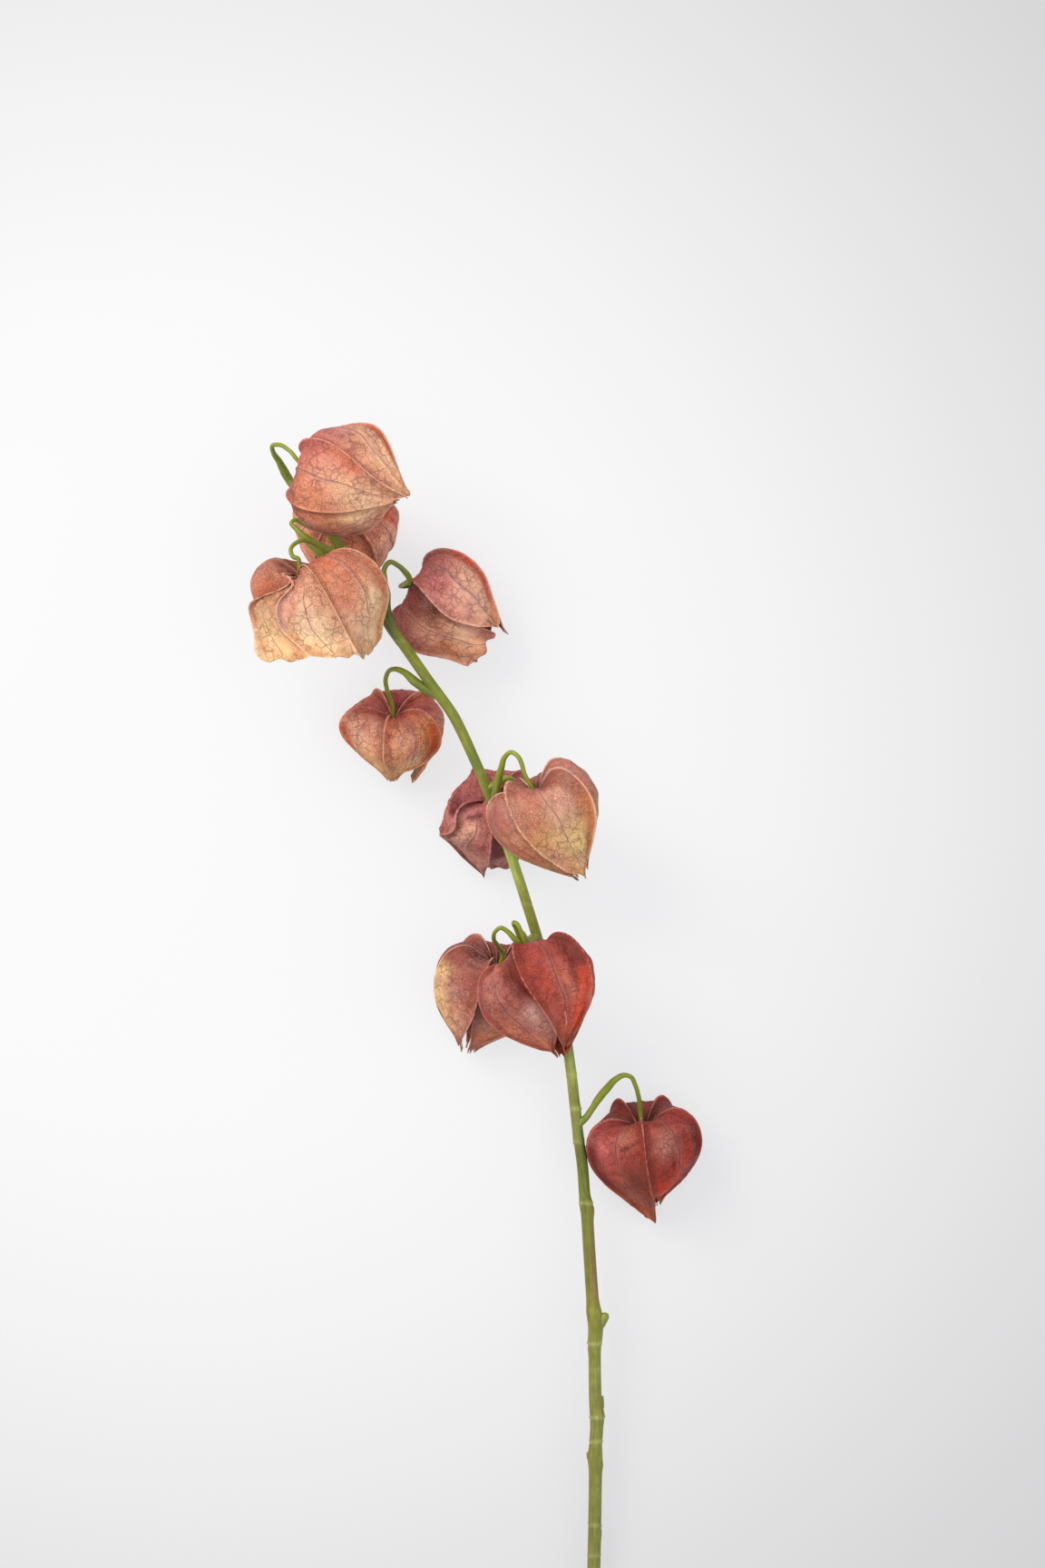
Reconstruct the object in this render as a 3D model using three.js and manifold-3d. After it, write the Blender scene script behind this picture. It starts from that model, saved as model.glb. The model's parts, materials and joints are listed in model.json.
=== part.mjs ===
// A cut stem of Chinese lantern (Physalis), lying down: one green stem with its arching stalks, and the
// ten papery lanterns that hang on them. Millimetres. The surface that it lies on is z = 0, +Z is up, and
// +Y runs along the stem from its cut end to its tip.
import * as THREE from "three";
import Module from "manifold-3d";
import { mergeVertices } from "three/addons/utils/BufferGeometryUtils.js";

const wasm = await Module();
wasm.setup();

// ---- The lanterns ----
// at: middle of the husk. radius: from there to a keel. height: along the axis, from shoulder to tooth tips.
// heading: where the axis points, from stalk to mouth, in degrees from +X towards +Y. rise: its slope up.
// mouth: 0 is drawn shut and 1 is a wide bell. split: share of the way down where the teeth part.
// keels: where the five keels stand round the axis, in degrees: 270 is turned up, 90 down and 0 to the right.
// flat: share of its thickness along Z that the husk keeps. twist: how far the keels turn on their way down.
// shoulder, waist: how far each keel stands out there, over the usual 1.
// tip, hollow: how far mouth and hollow lie off the axis, to the right and upwards, in shares of the radius.
const even = [1, 1, 1, 1, 1];
const plain = { flat: 0.85, twist: 0, shoulder: even, waist: even, tip: [0, 0], hollow: [0, 0] };
const lanterns = [
  {
    at: [-56, 272, 72], radius: 25, height: 49, heading: -17, rise: 22, mouth: 0.2, split: 0.88,
    keels: [296, 352, 70, 150, 229], shoulder: [1, 0.95, 1, 1, 1.06], waist: [1, 1.22, 1.1, 1, 1],
    color: 0xb5685a,
  },
  {
    at: [-57.5, 252, 21.6], radius: 23.5, height: 46, heading: -88, rise: -58, mouth: 0.1, split: 0.86,
    keels: [304, 16, 88, 160, 232], flat: 0.9, hollow: [-0.2, 0.15], color: 0xa86a55,
  },
  {
    at: [-68.5, 222.5, 69.5], radius: 29.5, height: 41, heading: -86, rise: -10, mouth: 1.3, split: 0.92,
    keels: [279, 352, 75, 172, 231], flat: 0.7, twist: 70, hollow: [-0.22, 0], color: 0xcf9468,
  },
  {
    at: [-12, 220, 21], radius: 25, height: 44, heading: -31, rise: 5, mouth: 0.6, split: 0.86,
    keels: [256, 336, 52, 124, 190], waist: [1, 1, 1, 1.05, 1.05], color: 0xb8705c,
  },
  {
    at: [-36.5, 163.5, 18], radius: 24.5, height: 39, heading: -88, rise: -30, mouth: 0.3, split: 0.76,
    keels: [260, 332, 42, 114, 188], waist: [1.1, 1.1, 1.1, 1.1, 1.1], color: 0xbf7658,
  },
  {
    at: [7, 126, 18.2], radius: 22.5, height: 47, heading: -95, rise: -42, mouth: 0.2, split: 0.84,
    keels: [268, 340, 50, 118, 190], shoulder: [1, 1, 1, 1, 1.08], waist: [1, 1, 1, 1, 1.1], color: 0x8c4a44,
  },
  {
    at: [32.5, 127.5, 62], radius: 25, height: 50, heading: -60, rise: -6, mouth: 0.05, split: 0.88,
    keels: [236, 320, 30, 100, 168], waist: [1, 1.15, 1.1, 1, 1], color: 0xb97a62,
  },
  {
    at: [3, 48, 16.4], radius: 22.5, height: 49, heading: -105, rise: -20, mouth: 0.15, split: 0.62,
    keels: [277, 347, 59, 131, 203], waist: [1, 1.15, 1.1, 1, 1], hollow: [0.2, 0], color: 0xa8604a,
  },
  {
    at: [29.5, 50, 57], radius: 26, height: 50, heading: -72, rise: 2, mouth: 0.05, split: 0.76,
    keels: [263, 330, 39, 111, 186], flat: 0.82, waist: [1, 1, 1.12, 1, 1], color: 0xa03c30,
  },
  {
    at: [76, -25, 17.4], radius: 25.5, height: 51, heading: -84, rise: -18, mouth: 0, split: 0.93,
    keels: [270, 342, 54, 126, 198], waist: [1, 0.9, 1, 1, 1], tip: [0.1, 0], color: 0x93302a,
  },
].map((lantern, i) => ({ ...plain, ...lantern, seed: i + 1 }));

// ---- The husk, in shares of its radius and height ----
const huskWall = 0.8;
const middleHeight = 0.4; // where the husk's middle is, from the shoulder down
// A keel seen from the side, from the bottom of the hollow over the shoulder to a tooth tip: radius, height.
const keelCurve = new THREE.SplineCurve([
  [0, 0.2], [0.1, 0.165], [0.32, 0.05], [0.6, 0], [0.87, 0.07], [1, 0.235],
  [0.975, 0.42], [0.81, 0.6], [0.55, 0.755], [0.3, 0.885], [0.12, 1],
].map(([r, h]) => new THREE.Vector2(r, h)));
// How far a wide mouth pushes each of those points out.
const mouthCurve = new THREE.SplineCurve(
  [0, 0, 0, 0, 0, 0, 0.02, 0.1, 0.26, 0.46, 0.6].map((push) => new THREE.Vector2(push, 0)),
);
const bulge = 0.12; // the middle of a panel stands out of the flat between two keels
const bulgeChance = 0.06; // and by so much more or less
const pinch = 0.035; // the panel draws in just beside a keel
const keelRise = 0.05; // keels fold up over the shoulder
const toothChance = 0.05; // how much the teeth differ in length
const toothWidth = 0.06; // what is left of a panel's width at its tip
const shoulderPlace = 0.38; // shares of the way down
const waistPlace = 0.72;
const ringCount = 9; // rings from the hollow to where the teeth part
const firstRing = 1.2; // the first one's distance from the middle of the hollow, in steps between two rings
const acrossStops = [-1, -0.8, -0.42, 0, 0.42, 0.8]; // from one keel to the next, which starts the next panel
const toothStop = 0.5; // a tooth's one row, on the way from the parting to the tip

const degrees = Math.PI / 180;
const hash = (n) => {
  const x = Math.sin(n * 12.9898) * 43758.5453;
  return x - Math.floor(x);
};
const smooth = (x) => {
  const t = Math.min(1, Math.max(0, x));
  return t * t * (3 - 2 * t);
};
const hump = (x, middle, width) => Math.exp(-(((x - middle) / width) ** 2));
const blend = (a, b, share) => a + (b - a) * share;

// The husk's own directions: along its axis, to its right, and upwards from it.
function axesOf({ heading, rise }) {
  const level = Math.cos(rise * degrees);
  const along = new THREE.Vector3(
    Math.cos(heading * degrees) * level, Math.sin(heading * degrees) * level, Math.sin(rise * degrees),
  );
  const up = new THREE.Vector3(0, 0, 1).addScaledVector(along, -along.z).normalize();
  const right = new THREE.Vector3().crossVectors(up, along);
  return { along, up, right };
}

// A point of the husk's outside: panel 0 to 4, across it from one keel at -1 to the next at 1, and down
// from the hollow at 0 to the tooth tip at 1.
function huskPoint(lantern, panel, across, down) {
  const { keels, seed, radius } = lantern;
  const next = (panel + 1) % 5;
  const span = (keels[next] - keels[panel] + 360) % 360;
  const toTooth = smooth((down - lantern.split) / (1 - lantern.split));
  const reach = across * (1 - (1 - toothWidth) * toTooth);
  const share = (reach + 1) / 2;
  const angle = (keels[panel] + span * share + lantern.twist * (down - 0.5)) * degrees;
  const half = (span / 2) * degrees;
  const toMouth = smooth((down - 0.45) / 0.55);
  const toHollow = 1 - smooth(down / 0.45);
  const body = Math.sin(Math.PI * Math.min(1, down / 0.92));

  // Round the axis: flat from keel to keel, then puffed, pinched and dented.
  const keel = Math.abs(reach);
  const puff = bulge + bulgeChance * (hash(seed * 7 + panel) - 0.5);
  const flatSide = Math.cos(half) / Math.cos(half * reach);
  const section = flatSide + body * (puff * (1 - keel ** 2) - pinch * hump(keel, 0.8, 0.12));
  const dents = 0.03 * Math.sin(2 * angle + seed) + 0.02 * Math.sin(3 * angle + 4 * down + 2 * seed);
  const ownSize = (list) => blend(list[panel], list[next], smooth(share)) - 1;
  const atShoulder = ownSize(lantern.shoulder) * hump(down, shoulderPlace, 0.2);
  const atWaist = ownSize(lantern.waist) * hump(down, waistPlace, 0.2);
  const outwards = keelCurve.getPoint(down).x + lantern.mouth * mouthCurve.getPoint(down).x;
  const spread = outwards * section * (1 + dents * body + atShoulder + atWaist) * radius;

  // Along the axis.
  const toothLength = toothChance * (hash(seed * 11 + panel) - 0.5) * toMouth;
  const fold = keelRise * keel ** 4 * hump(down, 0.3, 0.12);
  const height = (keelCurve.getPoint(down).y + toothLength - fold - middleHeight) * lantern.height;

  const offAxis = (i) => (lantern.tip[i] * toMouth + lantern.hollow[i] * toHollow) * radius;
  const { along, up, right } = axesOf(lantern);
  const point = new THREE.Vector3()
    .addScaledVector(along, height)
    .addScaledVector(right, spread * Math.cos(angle) + offAxis(0))
    .addScaledVector(up, -spread * Math.sin(angle) + offAxis(1));
  point.z *= lantern.flat;
  return point.add(new THREE.Vector3(...lantern.at));
}

// One closed husk: rings of points from the hollow down, then five teeth, with a wall given to the net.
function husk(lantern) {
  const points = [huskPoint(lantern, 0, 0, 0)];
  const faces = [];
  const perPanel = acrossStops.length;
  const around = perPanel * 5;
  const lastRing = firstRing + ringCount - 1;
  for (let row = 0; row < ringCount; row++)
    for (let i = 0; i < around; i++) {
      const down = (lantern.split * (firstRing + row)) / lastRing;
      points.push(huskPoint(lantern, Math.floor(i / perPanel), acrossStops[i % perPanel], down));
    }
  const ring = (row, i) => 1 + row * around + (i % around);
  for (let i = 0; i < around; i++) faces.push([0, ring(0, i), ring(0, i + 1)]);
  for (let row = 1; row < ringCount; row++)
    for (let i = 0; i < around; i++) {
      const lean = i % perPanel < perPanel / 2;
      addQuad(faces, ring(row - 1, i), ring(row - 1, i + 1), ring(row, i + 1), ring(row, i), lean);
    }
  for (let panel = 0; panel < 5; panel++) addTooth(lantern, panel, points, faces, ring);
  return thicken(points, faces, huskWall);
}

function addTooth(lantern, panel, points, faces, ring) {
  const stops = [...acrossStops, 1];
  const down = blend(lantern.split, 1, toothStop);
  const above = stops.map((_, i) => ring(ringCount - 1, panel * acrossStops.length + i));
  const row = stops.map((across) => points.push(huskPoint(lantern, panel, across, down)) - 1);
  const tip = points.push(huskPoint(lantern, panel, 0, 1)) - 1;
  for (let i = 0; i < acrossStops.length; i++) {
    addQuad(faces, above[i], above[i + 1], row[i + 1], row[i], i < acrossStops.length / 2);
    faces.push([row[i], tip, row[i + 1]]);
  }
}

// Two triangles. lean says which way the edge between them runs, so that a panel's two halves mirror.
function addQuad(faces, a, b, c, d, lean) {
  if (lean) faces.push([a, d, c], [a, c, b]);
  else faces.push([a, d, b], [b, d, c]);
}

// Gives an open net a wall on its inner side. Neither side goes below the surface that the husk lies on.
function thicken(points, faces, wall) {
  const normals = points.map(() => new THREE.Vector3());
  for (const [a, b, c] of faces) {
    const side = new THREE.Vector3().subVectors(points[b], points[a]);
    const normal = side.cross(new THREE.Vector3().subVectors(points[c], points[a]));
    for (const i of [a, b, c]) normals[i].add(normal);
  }
  const outer = points.map((p) => [p.x, p.y, Math.max(0, p.z)]);
  const inner = points.map((p, i) => {
    const q = p.clone().addScaledVector(normals[i].normalize(), -wall);
    return [q.x, q.y, Math.max(wall, q.z)];
  });

  const inside = points.length;
  const index = [];
  const openEdges = new Map();
  for (const [a, b, c] of faces) {
    index.push(a, b, c, a + inside, c + inside, b + inside);
    for (const [from, to] of [[a, b], [b, c], [c, a]]) {
      if (!openEdges.delete(`${to} ${from}`)) openEdges.set(`${from} ${to}`, [from, to]);
    }
  }
  for (const [from, to] of openEdges.values()) {
    index.push(from, from + inside, to, to, from + inside, to + inside);
  }
  return indexed([...outer, ...inner].flat(), index);
}

// ---- The stem and the stalks ----
// Each route: x, y, z of its middle, then its radius. Where it is thicker, a leaf or a shoot has fallen off.
const stemRoute = [
  [50.9, -299, 3.02, 3], [52.5, -242, 7.5, 3], [53.5, -200.5, 10.5, 2.95],
  [54, -164, 13, 2.95], [54, -160, 13.3, 3.15], [54, -156.5, 13.6, 2.95],
  [54.5, -147.5, 14.2, 2.95], [54.5, -143, 14.6, 3.2], [54, -138, 15, 2.85], [53.5, -113.5, 17, 2.75],
  [53.5, -102, 17.8, 2.95], [53, -95, 18.3, 3.35], [52.5, -89, 18.8, 2.8],
  [51, -66.5, 20.5, 2.7], [50, -51, 21.3, 2.7], [49.5, -46.5, 21.6, 3.05], [49, -42.5, 21.9, 2.55],
  [48, -29.5, 23, 2.45], [46, -15, 24.4, 2.4], [44, 3, 26, 2.35], [43, 12, 27, 2.35],
  [39.5, 34, 29, 2.25],
  [33.5, 54, 31, 2.25], [27.5, 74, 33.5, 2.25], [20, 98, 37.5, 2.25], [15.5, 111.5, 39.5, 2.25],
  [10.5, 125, 42, 2.25], [5.5, 139, 44, 2.25], [0.5, 151, 45, 2.25], [-9, 171, 46.5, 2.35],
  [-14.5, 179, 47, 2.35],
  [-20, 186.5, 47, 2.3], [-30.5, 201.5, 47, 2.3], [-36, 209, 47, 2.35], [-41.5, 218, 47.5, 2.3],
  [-54.5, 238.5, 48.5, 2.2], [-68, 258, 48, 2.1], [-81.5, 275, 46, 1.9],
];
// Stubs of fallen shoots. Each starts inside the stem.
const stubRoutes = [
  [[53.7, -102, 18, 2.2], [56.5, -98.8, 18.2, 2.3], [59, -96, 18.3, 1.2]],
  [[53.4, -164, 13.3, 2], [51.7, -161, 13.4, 1.8], [50.6, -159, 13.5, 0.8]],
  [[55.4, -143, 14.5, 1.4], [56.6, -138, 15, 1.3], [57.1, -133.5, 15.3, 0.5]],
];
// One stalk for each lantern, in their order. Lanterns that hang as a pair share a start on the stem.
const stalkRoutes = [
  [[-81.5, 275, 46, 1.9], [-83.5, 278.5, 48, 1.95], [-85.5, 282.5, 51, 1.5], [-88, 286.5, 56, 1.05],
    [-88, 289, 60, 0.95], [-84.5, 289, 63, 0.95], [-80.5, 286.5, 65, 0.95], [-77, 282.5, 66, 0.95]],
  [[-54.5, 238.5, 48.5, 2], [-60, 240, 48.5, 2.3], [-66, 242.5, 49, 2.7], [-71, 246.5, 49.5, 2.3],
    [-75.5, 250.5, 50, 1.5], [-78.5, 253.5, 49.5, 1.1], [-80.5, 256, 48.5, 0.95], [-79, 257.5, 47, 0.95],
    [-76, 256, 45, 0.95], [-71.5, 254, 44, 0.95], [-67, 254.5, 43.3, 0.95]],
  [[-54.5, 238.5, 48.5, 2], [-60, 241.5, 51.5, 2], [-65.5, 244.5, 55, 1.7], [-70, 246.5, 59, 1.25],
    [-74, 247.5, 63, 1], [-77.5, 246, 66.5, 0.95], [-79.5, 243, 69.5, 0.95], [-78, 239.5, 71.5, 0.95]],
  [[-36, 209, 47, 2], [-37.5, 214, 47.5, 1.9], [-38.5, 219.5, 48, 1.65], [-38.5, 224.5, 47.5, 1.65],
    [-39.5, 230.5, 47, 1.25], [-39.5, 236.5, 46.5, 1.1], [-37, 239, 46, 1.1], [-33, 237, 45, 1.1],
    [-30, 234, 42, 1.35], [-28.8, 231.5, 37.5, 1.35], [-31.5, 230, 32, 1.05], [-33.3, 229.3, 26.5, 0.95],
    [-32, 229.5, 22, 0.95]],
  [[-14.5, 179, 47, 2], [-17.5, 181, 46.5, 1.9], [-21.5, 183, 46, 2], [-27, 187, 45, 2],
    [-31, 190.5, 44, 1.4],
    [-35.5, 192, 42.5, 1.1], [-38, 191, 40, 1], [-39.5, 187.5, 36, 1], [-39, 183, 31.5, 1]],
  [[5.5, 139, 44, 2], [10.5, 141.5, 45, 1.8], [14, 143.5, 45, 1.4], [17, 143, 43, 1.05],
    [16, 142, 38, 0.95],
    [12.5, 141.5, 33.5, 0.95]],
  [[10.5, 125, 42, 2], [9, 130, 45, 2], [9.5, 136.5, 49, 2.1], [10.5, 142.5, 53, 1.9],
    [12, 148.5, 57, 1.4],
    [13.5, 153, 60, 1.15], [16, 155, 62, 1], [19, 153.5, 64, 1], [21, 149.5, 64.5, 1]],
  [[27.5, 74, 33.5, 2], [23, 71.5, 35, 1.8], [18.5, 72, 36, 1.5], [15, 75.5, 36.5, 1.1],
    [11.5, 77.5, 36.5, 0.95], [9, 75.5, 35, 0.95], [8.5, 72, 30.5, 0.95]],
  [[27.5, 74, 33.5, 2], [25, 72, 38, 2], [23, 71.5, 43, 2.1], [20.5, 75, 49, 2], [18.5, 78.5, 54, 1.4],
    [17.5, 80.5, 57.5, 1.1], [19, 80, 59.5, 0.95], [21, 75.5, 58.5, 0.95]],
  [[45.5, -11, 24.8, 2], [49.5, -7.5, 26, 1.5], [52.5, -3, 27.5, 1.4], [55, 1, 29, 1.7],
    [58.5, 5.5, 31, 1.75],
    [62.5, 10, 33, 1.4], [66.5, 12, 34, 1.1], [69.5, 11, 34, 1], [71.5, 7, 32, 1], [73, 1.5, 28, 1]],
];
const stalkEndRadius = 0.95;
const stalkClearance = 1.75; // from its tip to the bottom of the husk's hollow
const hollowDepth = 0.22; // from there to the hollow's rim, in shares of the husk's height
const stemSides = 10;
const stalkSides = 8;

// A stalk's whole route: its last two points stand over the hollow of its lantern and in it.
function stalkRoute(lantern, route) {
  const bottom = huskPoint(lantern, 0, 0, 0);
  const inwards = axesOf(lantern).along;
  inwards.z *= lantern.flat;
  const ends = [hollowDepth * lantern.height, stalkClearance].map((away) => {
    const p = bottom.clone().addScaledVector(inwards, -away);
    return [p.x, p.y, p.z, stalkEndRadius];
  });
  return [...route, ...ends];
}

// A rod of changing thickness along a smooth route, closed at both ends. cuts: pieces between two points.
function rod(route, sides, cuts) {
  const line = new THREE.CatmullRomCurve3(route.map(([x, y, z]) => new THREE.Vector3(x, y, z)));
  const pieces = (route.length - 1) * cuts;
  const position = [];
  const index = [];
  const side = new THREE.Vector3(0, 0, 1);
  for (let i = 0; i <= pieces; i++) {
    const middle = line.getPoint(i / pieces);
    const ahead = line.getTangent(i / pieces);
    side.addScaledVector(ahead, -side.dot(ahead)).normalize();
    const other = new THREE.Vector3().crossVectors(ahead, side);
    const passed = Math.min(Math.floor(i / cuts), route.length - 2);
    const radius = blend(route[passed][3], route[passed + 1][3], i / cuts - passed);
    for (let j = 0; j < sides; j++) {
      const angle = (j / sides) * 2 * Math.PI;
      const p = middle.clone().addScaledVector(side, radius * Math.cos(angle));
      p.addScaledVector(other, radius * Math.sin(angle));
      position.push(p.x, p.y, p.z);
    }
  }
  for (let i = 0; i < pieces; i++)
    for (let j = 0; j < sides; j++) {
      const [a, b] = [i * sides + j, i * sides + ((j + 1) % sides)];
      index.push(a, b, b + sides, a, b + sides, a + sides);
    }
  const last = pieces * sides;
  for (let j = 1; j < sides - 1; j++) index.push(0, j + 1, j, last, last + j, last + j + 1);
  return indexed(position, index);
}

function indexed(position, index) {
  const geometry = new THREE.BufferGeometry();
  geometry.setAttribute("position", new THREE.Float32BufferAttribute(position, 3));
  geometry.setIndex(index);
  return geometry;
}

function solidOf(geometry) {
  const merged = mergeVertices(geometry, 1e-4);
  return new wasm.Manifold(new wasm.Mesh({
    numProp: 3,
    vertProperties: merged.attributes.position.array,
    triVerts: new Uint32Array(merged.index.array),
  }));
}

function geometryOf(solid) {
  const mesh = solid.getMesh();
  return indexed(Array.from(mesh.vertProperties), Array.from(mesh.triVerts));
}

// The stem, its stubs and its stalks grew as one piece.
function wholeStem() {
  const branches = [...stubRoutes, ...stalkRoutes.map((route, i) => stalkRoute(lanterns[i], route))];
  let solid = solidOf(rod(stemRoute, stemSides, 2));
  for (const route of branches) solid = solid.add(solidOf(rod(route, stalkSides, 1)));
  return geometryOf(solid);
}

// ---- The object ----
const group = new THREE.Group();

function addPiece(name, geometry, color, roughness) {
  const material = new THREE.MeshStandardMaterial({ color, roughness, metalness: 0 });
  const mesh = new THREE.Mesh(geometry, material);
  mesh.name = name;
  group.add(mesh);
}

addPiece("stem", wholeStem(), 0x8a9a45, 0.55);
lanterns.forEach((lantern, i) => addPiece(`lantern_${i + 1}`, husk(lantern), lantern.color, 0.65));

export default group;
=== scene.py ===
import json
import math

import bpy
import numpy as np
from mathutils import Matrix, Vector, noise


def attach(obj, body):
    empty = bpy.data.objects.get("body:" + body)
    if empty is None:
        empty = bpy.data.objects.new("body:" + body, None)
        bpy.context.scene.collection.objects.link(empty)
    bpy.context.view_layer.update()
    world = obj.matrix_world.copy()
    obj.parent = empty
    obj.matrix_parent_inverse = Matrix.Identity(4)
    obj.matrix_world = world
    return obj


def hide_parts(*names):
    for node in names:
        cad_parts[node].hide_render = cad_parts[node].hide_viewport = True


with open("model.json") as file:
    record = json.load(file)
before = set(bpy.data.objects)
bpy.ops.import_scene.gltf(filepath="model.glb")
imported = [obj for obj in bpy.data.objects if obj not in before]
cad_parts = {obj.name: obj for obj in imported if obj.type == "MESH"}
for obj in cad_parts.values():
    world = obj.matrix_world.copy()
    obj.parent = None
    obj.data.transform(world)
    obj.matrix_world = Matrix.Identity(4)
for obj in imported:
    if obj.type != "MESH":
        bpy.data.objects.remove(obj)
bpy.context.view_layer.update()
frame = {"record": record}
print("frame loaded")

mm = 0.001
leastHeight = 0.02      # mm, so that nothing lies in the floor


def linear(hexColor):
    channels = [int(hexColor[i:i + 2], 16) / 255 for i in (1, 3, 5)]
    return [c / 12.92 if c <= 0.04045 else ((c + 0.055) / 1.055) ** 2.4 for c in channels] + [1.0]


def smooth(x):
    t = np.clip(x, 0.0, 1.0)
    return t * t * (3 - 2 * t)


def hump(x, middle, width):
    return np.exp(-((x - middle) / width) ** 2)


def blend(a, b, share):
    return a + (b - a) * share


def chance(n):
    x = np.sin(n * 12.9898) * 43758.5453
    return x - np.floor(x)


def alongCurve(values, share):
    # an even Catmull-Rom curve through the values
    values = np.asarray(values, float)
    last = len(values) - 1
    place = np.clip(share, 0, 1) * last
    i = np.minimum(np.floor(place).astype(int), last)
    t = place - i
    a, b = values[np.maximum(i - 1, 0)], values[i]
    c, d = values[np.minimum(i + 1, last)], values[np.minimum(i + 2, last)]
    into, out = (c - a) / 2, (d - b) / 2
    return (2 * b - 2 * c + into + out) * t ** 3 + (-3 * b + 3 * c - 2 * into - out) * t ** 2 + into * t + b


def noiseAt(points, size, seed, octaves=2):
    # smooth noise from about -1 to 1; size is the width of its lumps, in the points' unit
    shift = Vector((seed * 7.31, seed * 3.77, seed * 5.13))
    return np.array([noise.fractal(Vector(p) / size + shift, 0.8, 2.0, octaves) for p in points])


def addNode(tree, name, kind, settings, links):
    # settings name the node's own properties or its inputs; links name an input, and the node that feeds it
    node = tree.nodes.new("ShaderNode" + kind)
    node.name = name
    for key, value in settings.items():
        if isinstance(key, str) and hasattr(node, key):
            setattr(node, key, value)
        else:
            node.inputs[key].default_value = value
    for key, source in links.items():
        source, output = source if isinstance(source, tuple) else (source, 0)
        tree.links.new(tree.nodes[source].outputs[output], node.inputs[key])


def newMaterial(name, nodes):
    material = bpy.data.materials.new(name)
    material.use_nodes = True
    material.node_tree.nodes.clear()
    for node in nodes:
        addNode(material.node_tree, *node)
    return material


# inputs of a Map Range node: 1 and 2 from, 3 and 4 to; of a Mix node of colours: 0 factor, 6 and 7 the two
fade = {"interpolation_type": "SMOOTHSTEP"}
times, plus, less, absolute, timesPlus = (
    {"operation": kind} for kind in ("MULTIPLY", "ADD", "SUBTRACT", "ABSOLUTE", "MULTIPLY_ADD"))
colourMix = {"data_type": "RGBA", "blend_type": "MIX"}


view = {
    "reach": 1632,          # mm from the lens to the middle of the lanterns
    "middleHeight": 45,
    "place": (21.2, 141.2),
    "lens": 85,
    "sensor": 36,
    "clip": (0.05, 20),     # metres
}
camera = bpy.data.objects.new("camera", bpy.data.cameras.new("camera"))
bpy.context.scene.collection.objects.link(camera)
camera.location = (
    view["place"][0] * mm, view["place"][1] * mm, (view["reach"] + view["middleHeight"]) * mm)
camera.data.sensor_width = view["sensor"]
camera.data.lens = view["lens"]
camera.data.clip_start, camera.data.clip_end = view["clip"]
bpy.context.scene.camera = camera

table = {
    "size": 8,                  # metres
    "drop": -0.0002,            # metres, just under what lies on it
    "board": "#7a7a7a",
    # the floor's glow is painted light: strongest under the lanterns, weaker far out
    "paintedGlow": (0.69, 0.37),       # brightness under the lanterns, and far out
    "paintedGlowMiddle": (-0.12, 0.14, 0.0),
    "paintedGlowReach": (0.13, 0.64),  # metres from its middle where it starts and stops to fade
}
bpy.ops.object.select_all(action="DESELECT")
bpy.ops.mesh.primitive_plane_add(size=table["size"], location=(0, 0, table["drop"]))
floor = bpy.context.active_object
floor.name = "floor"
# a matt grey board whose own glow is painted light, brightest under the lanterns and fading outwards, so
# that hardly a shadow shows on it
tableTop = newMaterial("paintedGlowFloor", (
    ("place", "TexCoord", {}, {}),
    ("away", "VectorMath", {"operation": "DISTANCE", 1: table["paintedGlowMiddle"]}, {0: ("place", "Object")}),
    ("paintedGlow", "MapRange", {**fade, 1: table["paintedGlowReach"][0], 2: table["paintedGlowReach"][1], 3: table["paintedGlow"][0],
                          4: table["paintedGlow"][1]}, {0: ("away", 1)}),
    ("board", "BsdfPrincipled", {
        "Base Color": linear(table["board"]), "Roughness": 0.9, "Specular IOR Level": 0.1,
        "Emission Color": linear("#fdfdff")}, {"Emission Strength": "paintedGlow"}),
    ("output", "OutputMaterial", {}, {0: "board"}),
))
floor.data.materials.append(tableTop)

aim = Vector((0, 0.1, 0.04))
lights = {
    # name: place, size, watts, colour; each one faces the middle of the lanterns
    "keyLight": ((-0.8, 0.9, 1.2), 1.0, 21, "#fffaf2"),
    "fillLight": ((1.1, -0.2, 1.3), 1.4, 6, "#f6f9ff"),
    "topLight": ((0.0, 0.2, 2.3), 1.8, 10, "#ffffff"),
}
for name, (place, size, watts, tone) in lights.items():
    lamp = bpy.data.lights.new(name, "AREA")
    lamp.shape = "SQUARE"
    lamp.size = size
    lamp.energy = watts
    lamp.color = linear(tone)[:3]
    holder = bpy.data.objects.new(name, lamp)
    holder.location = place
    holder.rotation_mode = "QUATERNION"
    holder.rotation_quaternion = (aim - Vector(place)).to_track_quat("-Z", "Y")
    bpy.context.scene.collection.objects.link(holder)

room = {"colour": "#f4f6fa", "strength": 0.7}
world = bpy.data.worlds.new("studio")
world.use_nodes = True
background = world.node_tree.nodes["Background"]
background.inputs["Color"].default_value = linear(room["colour"])
background.inputs["Strength"].default_value = room["strength"]
bpy.context.scene.world = world
bpy.context.scene.view_settings.view_transform = "Standard"
print("camera, floor and light made")
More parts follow.
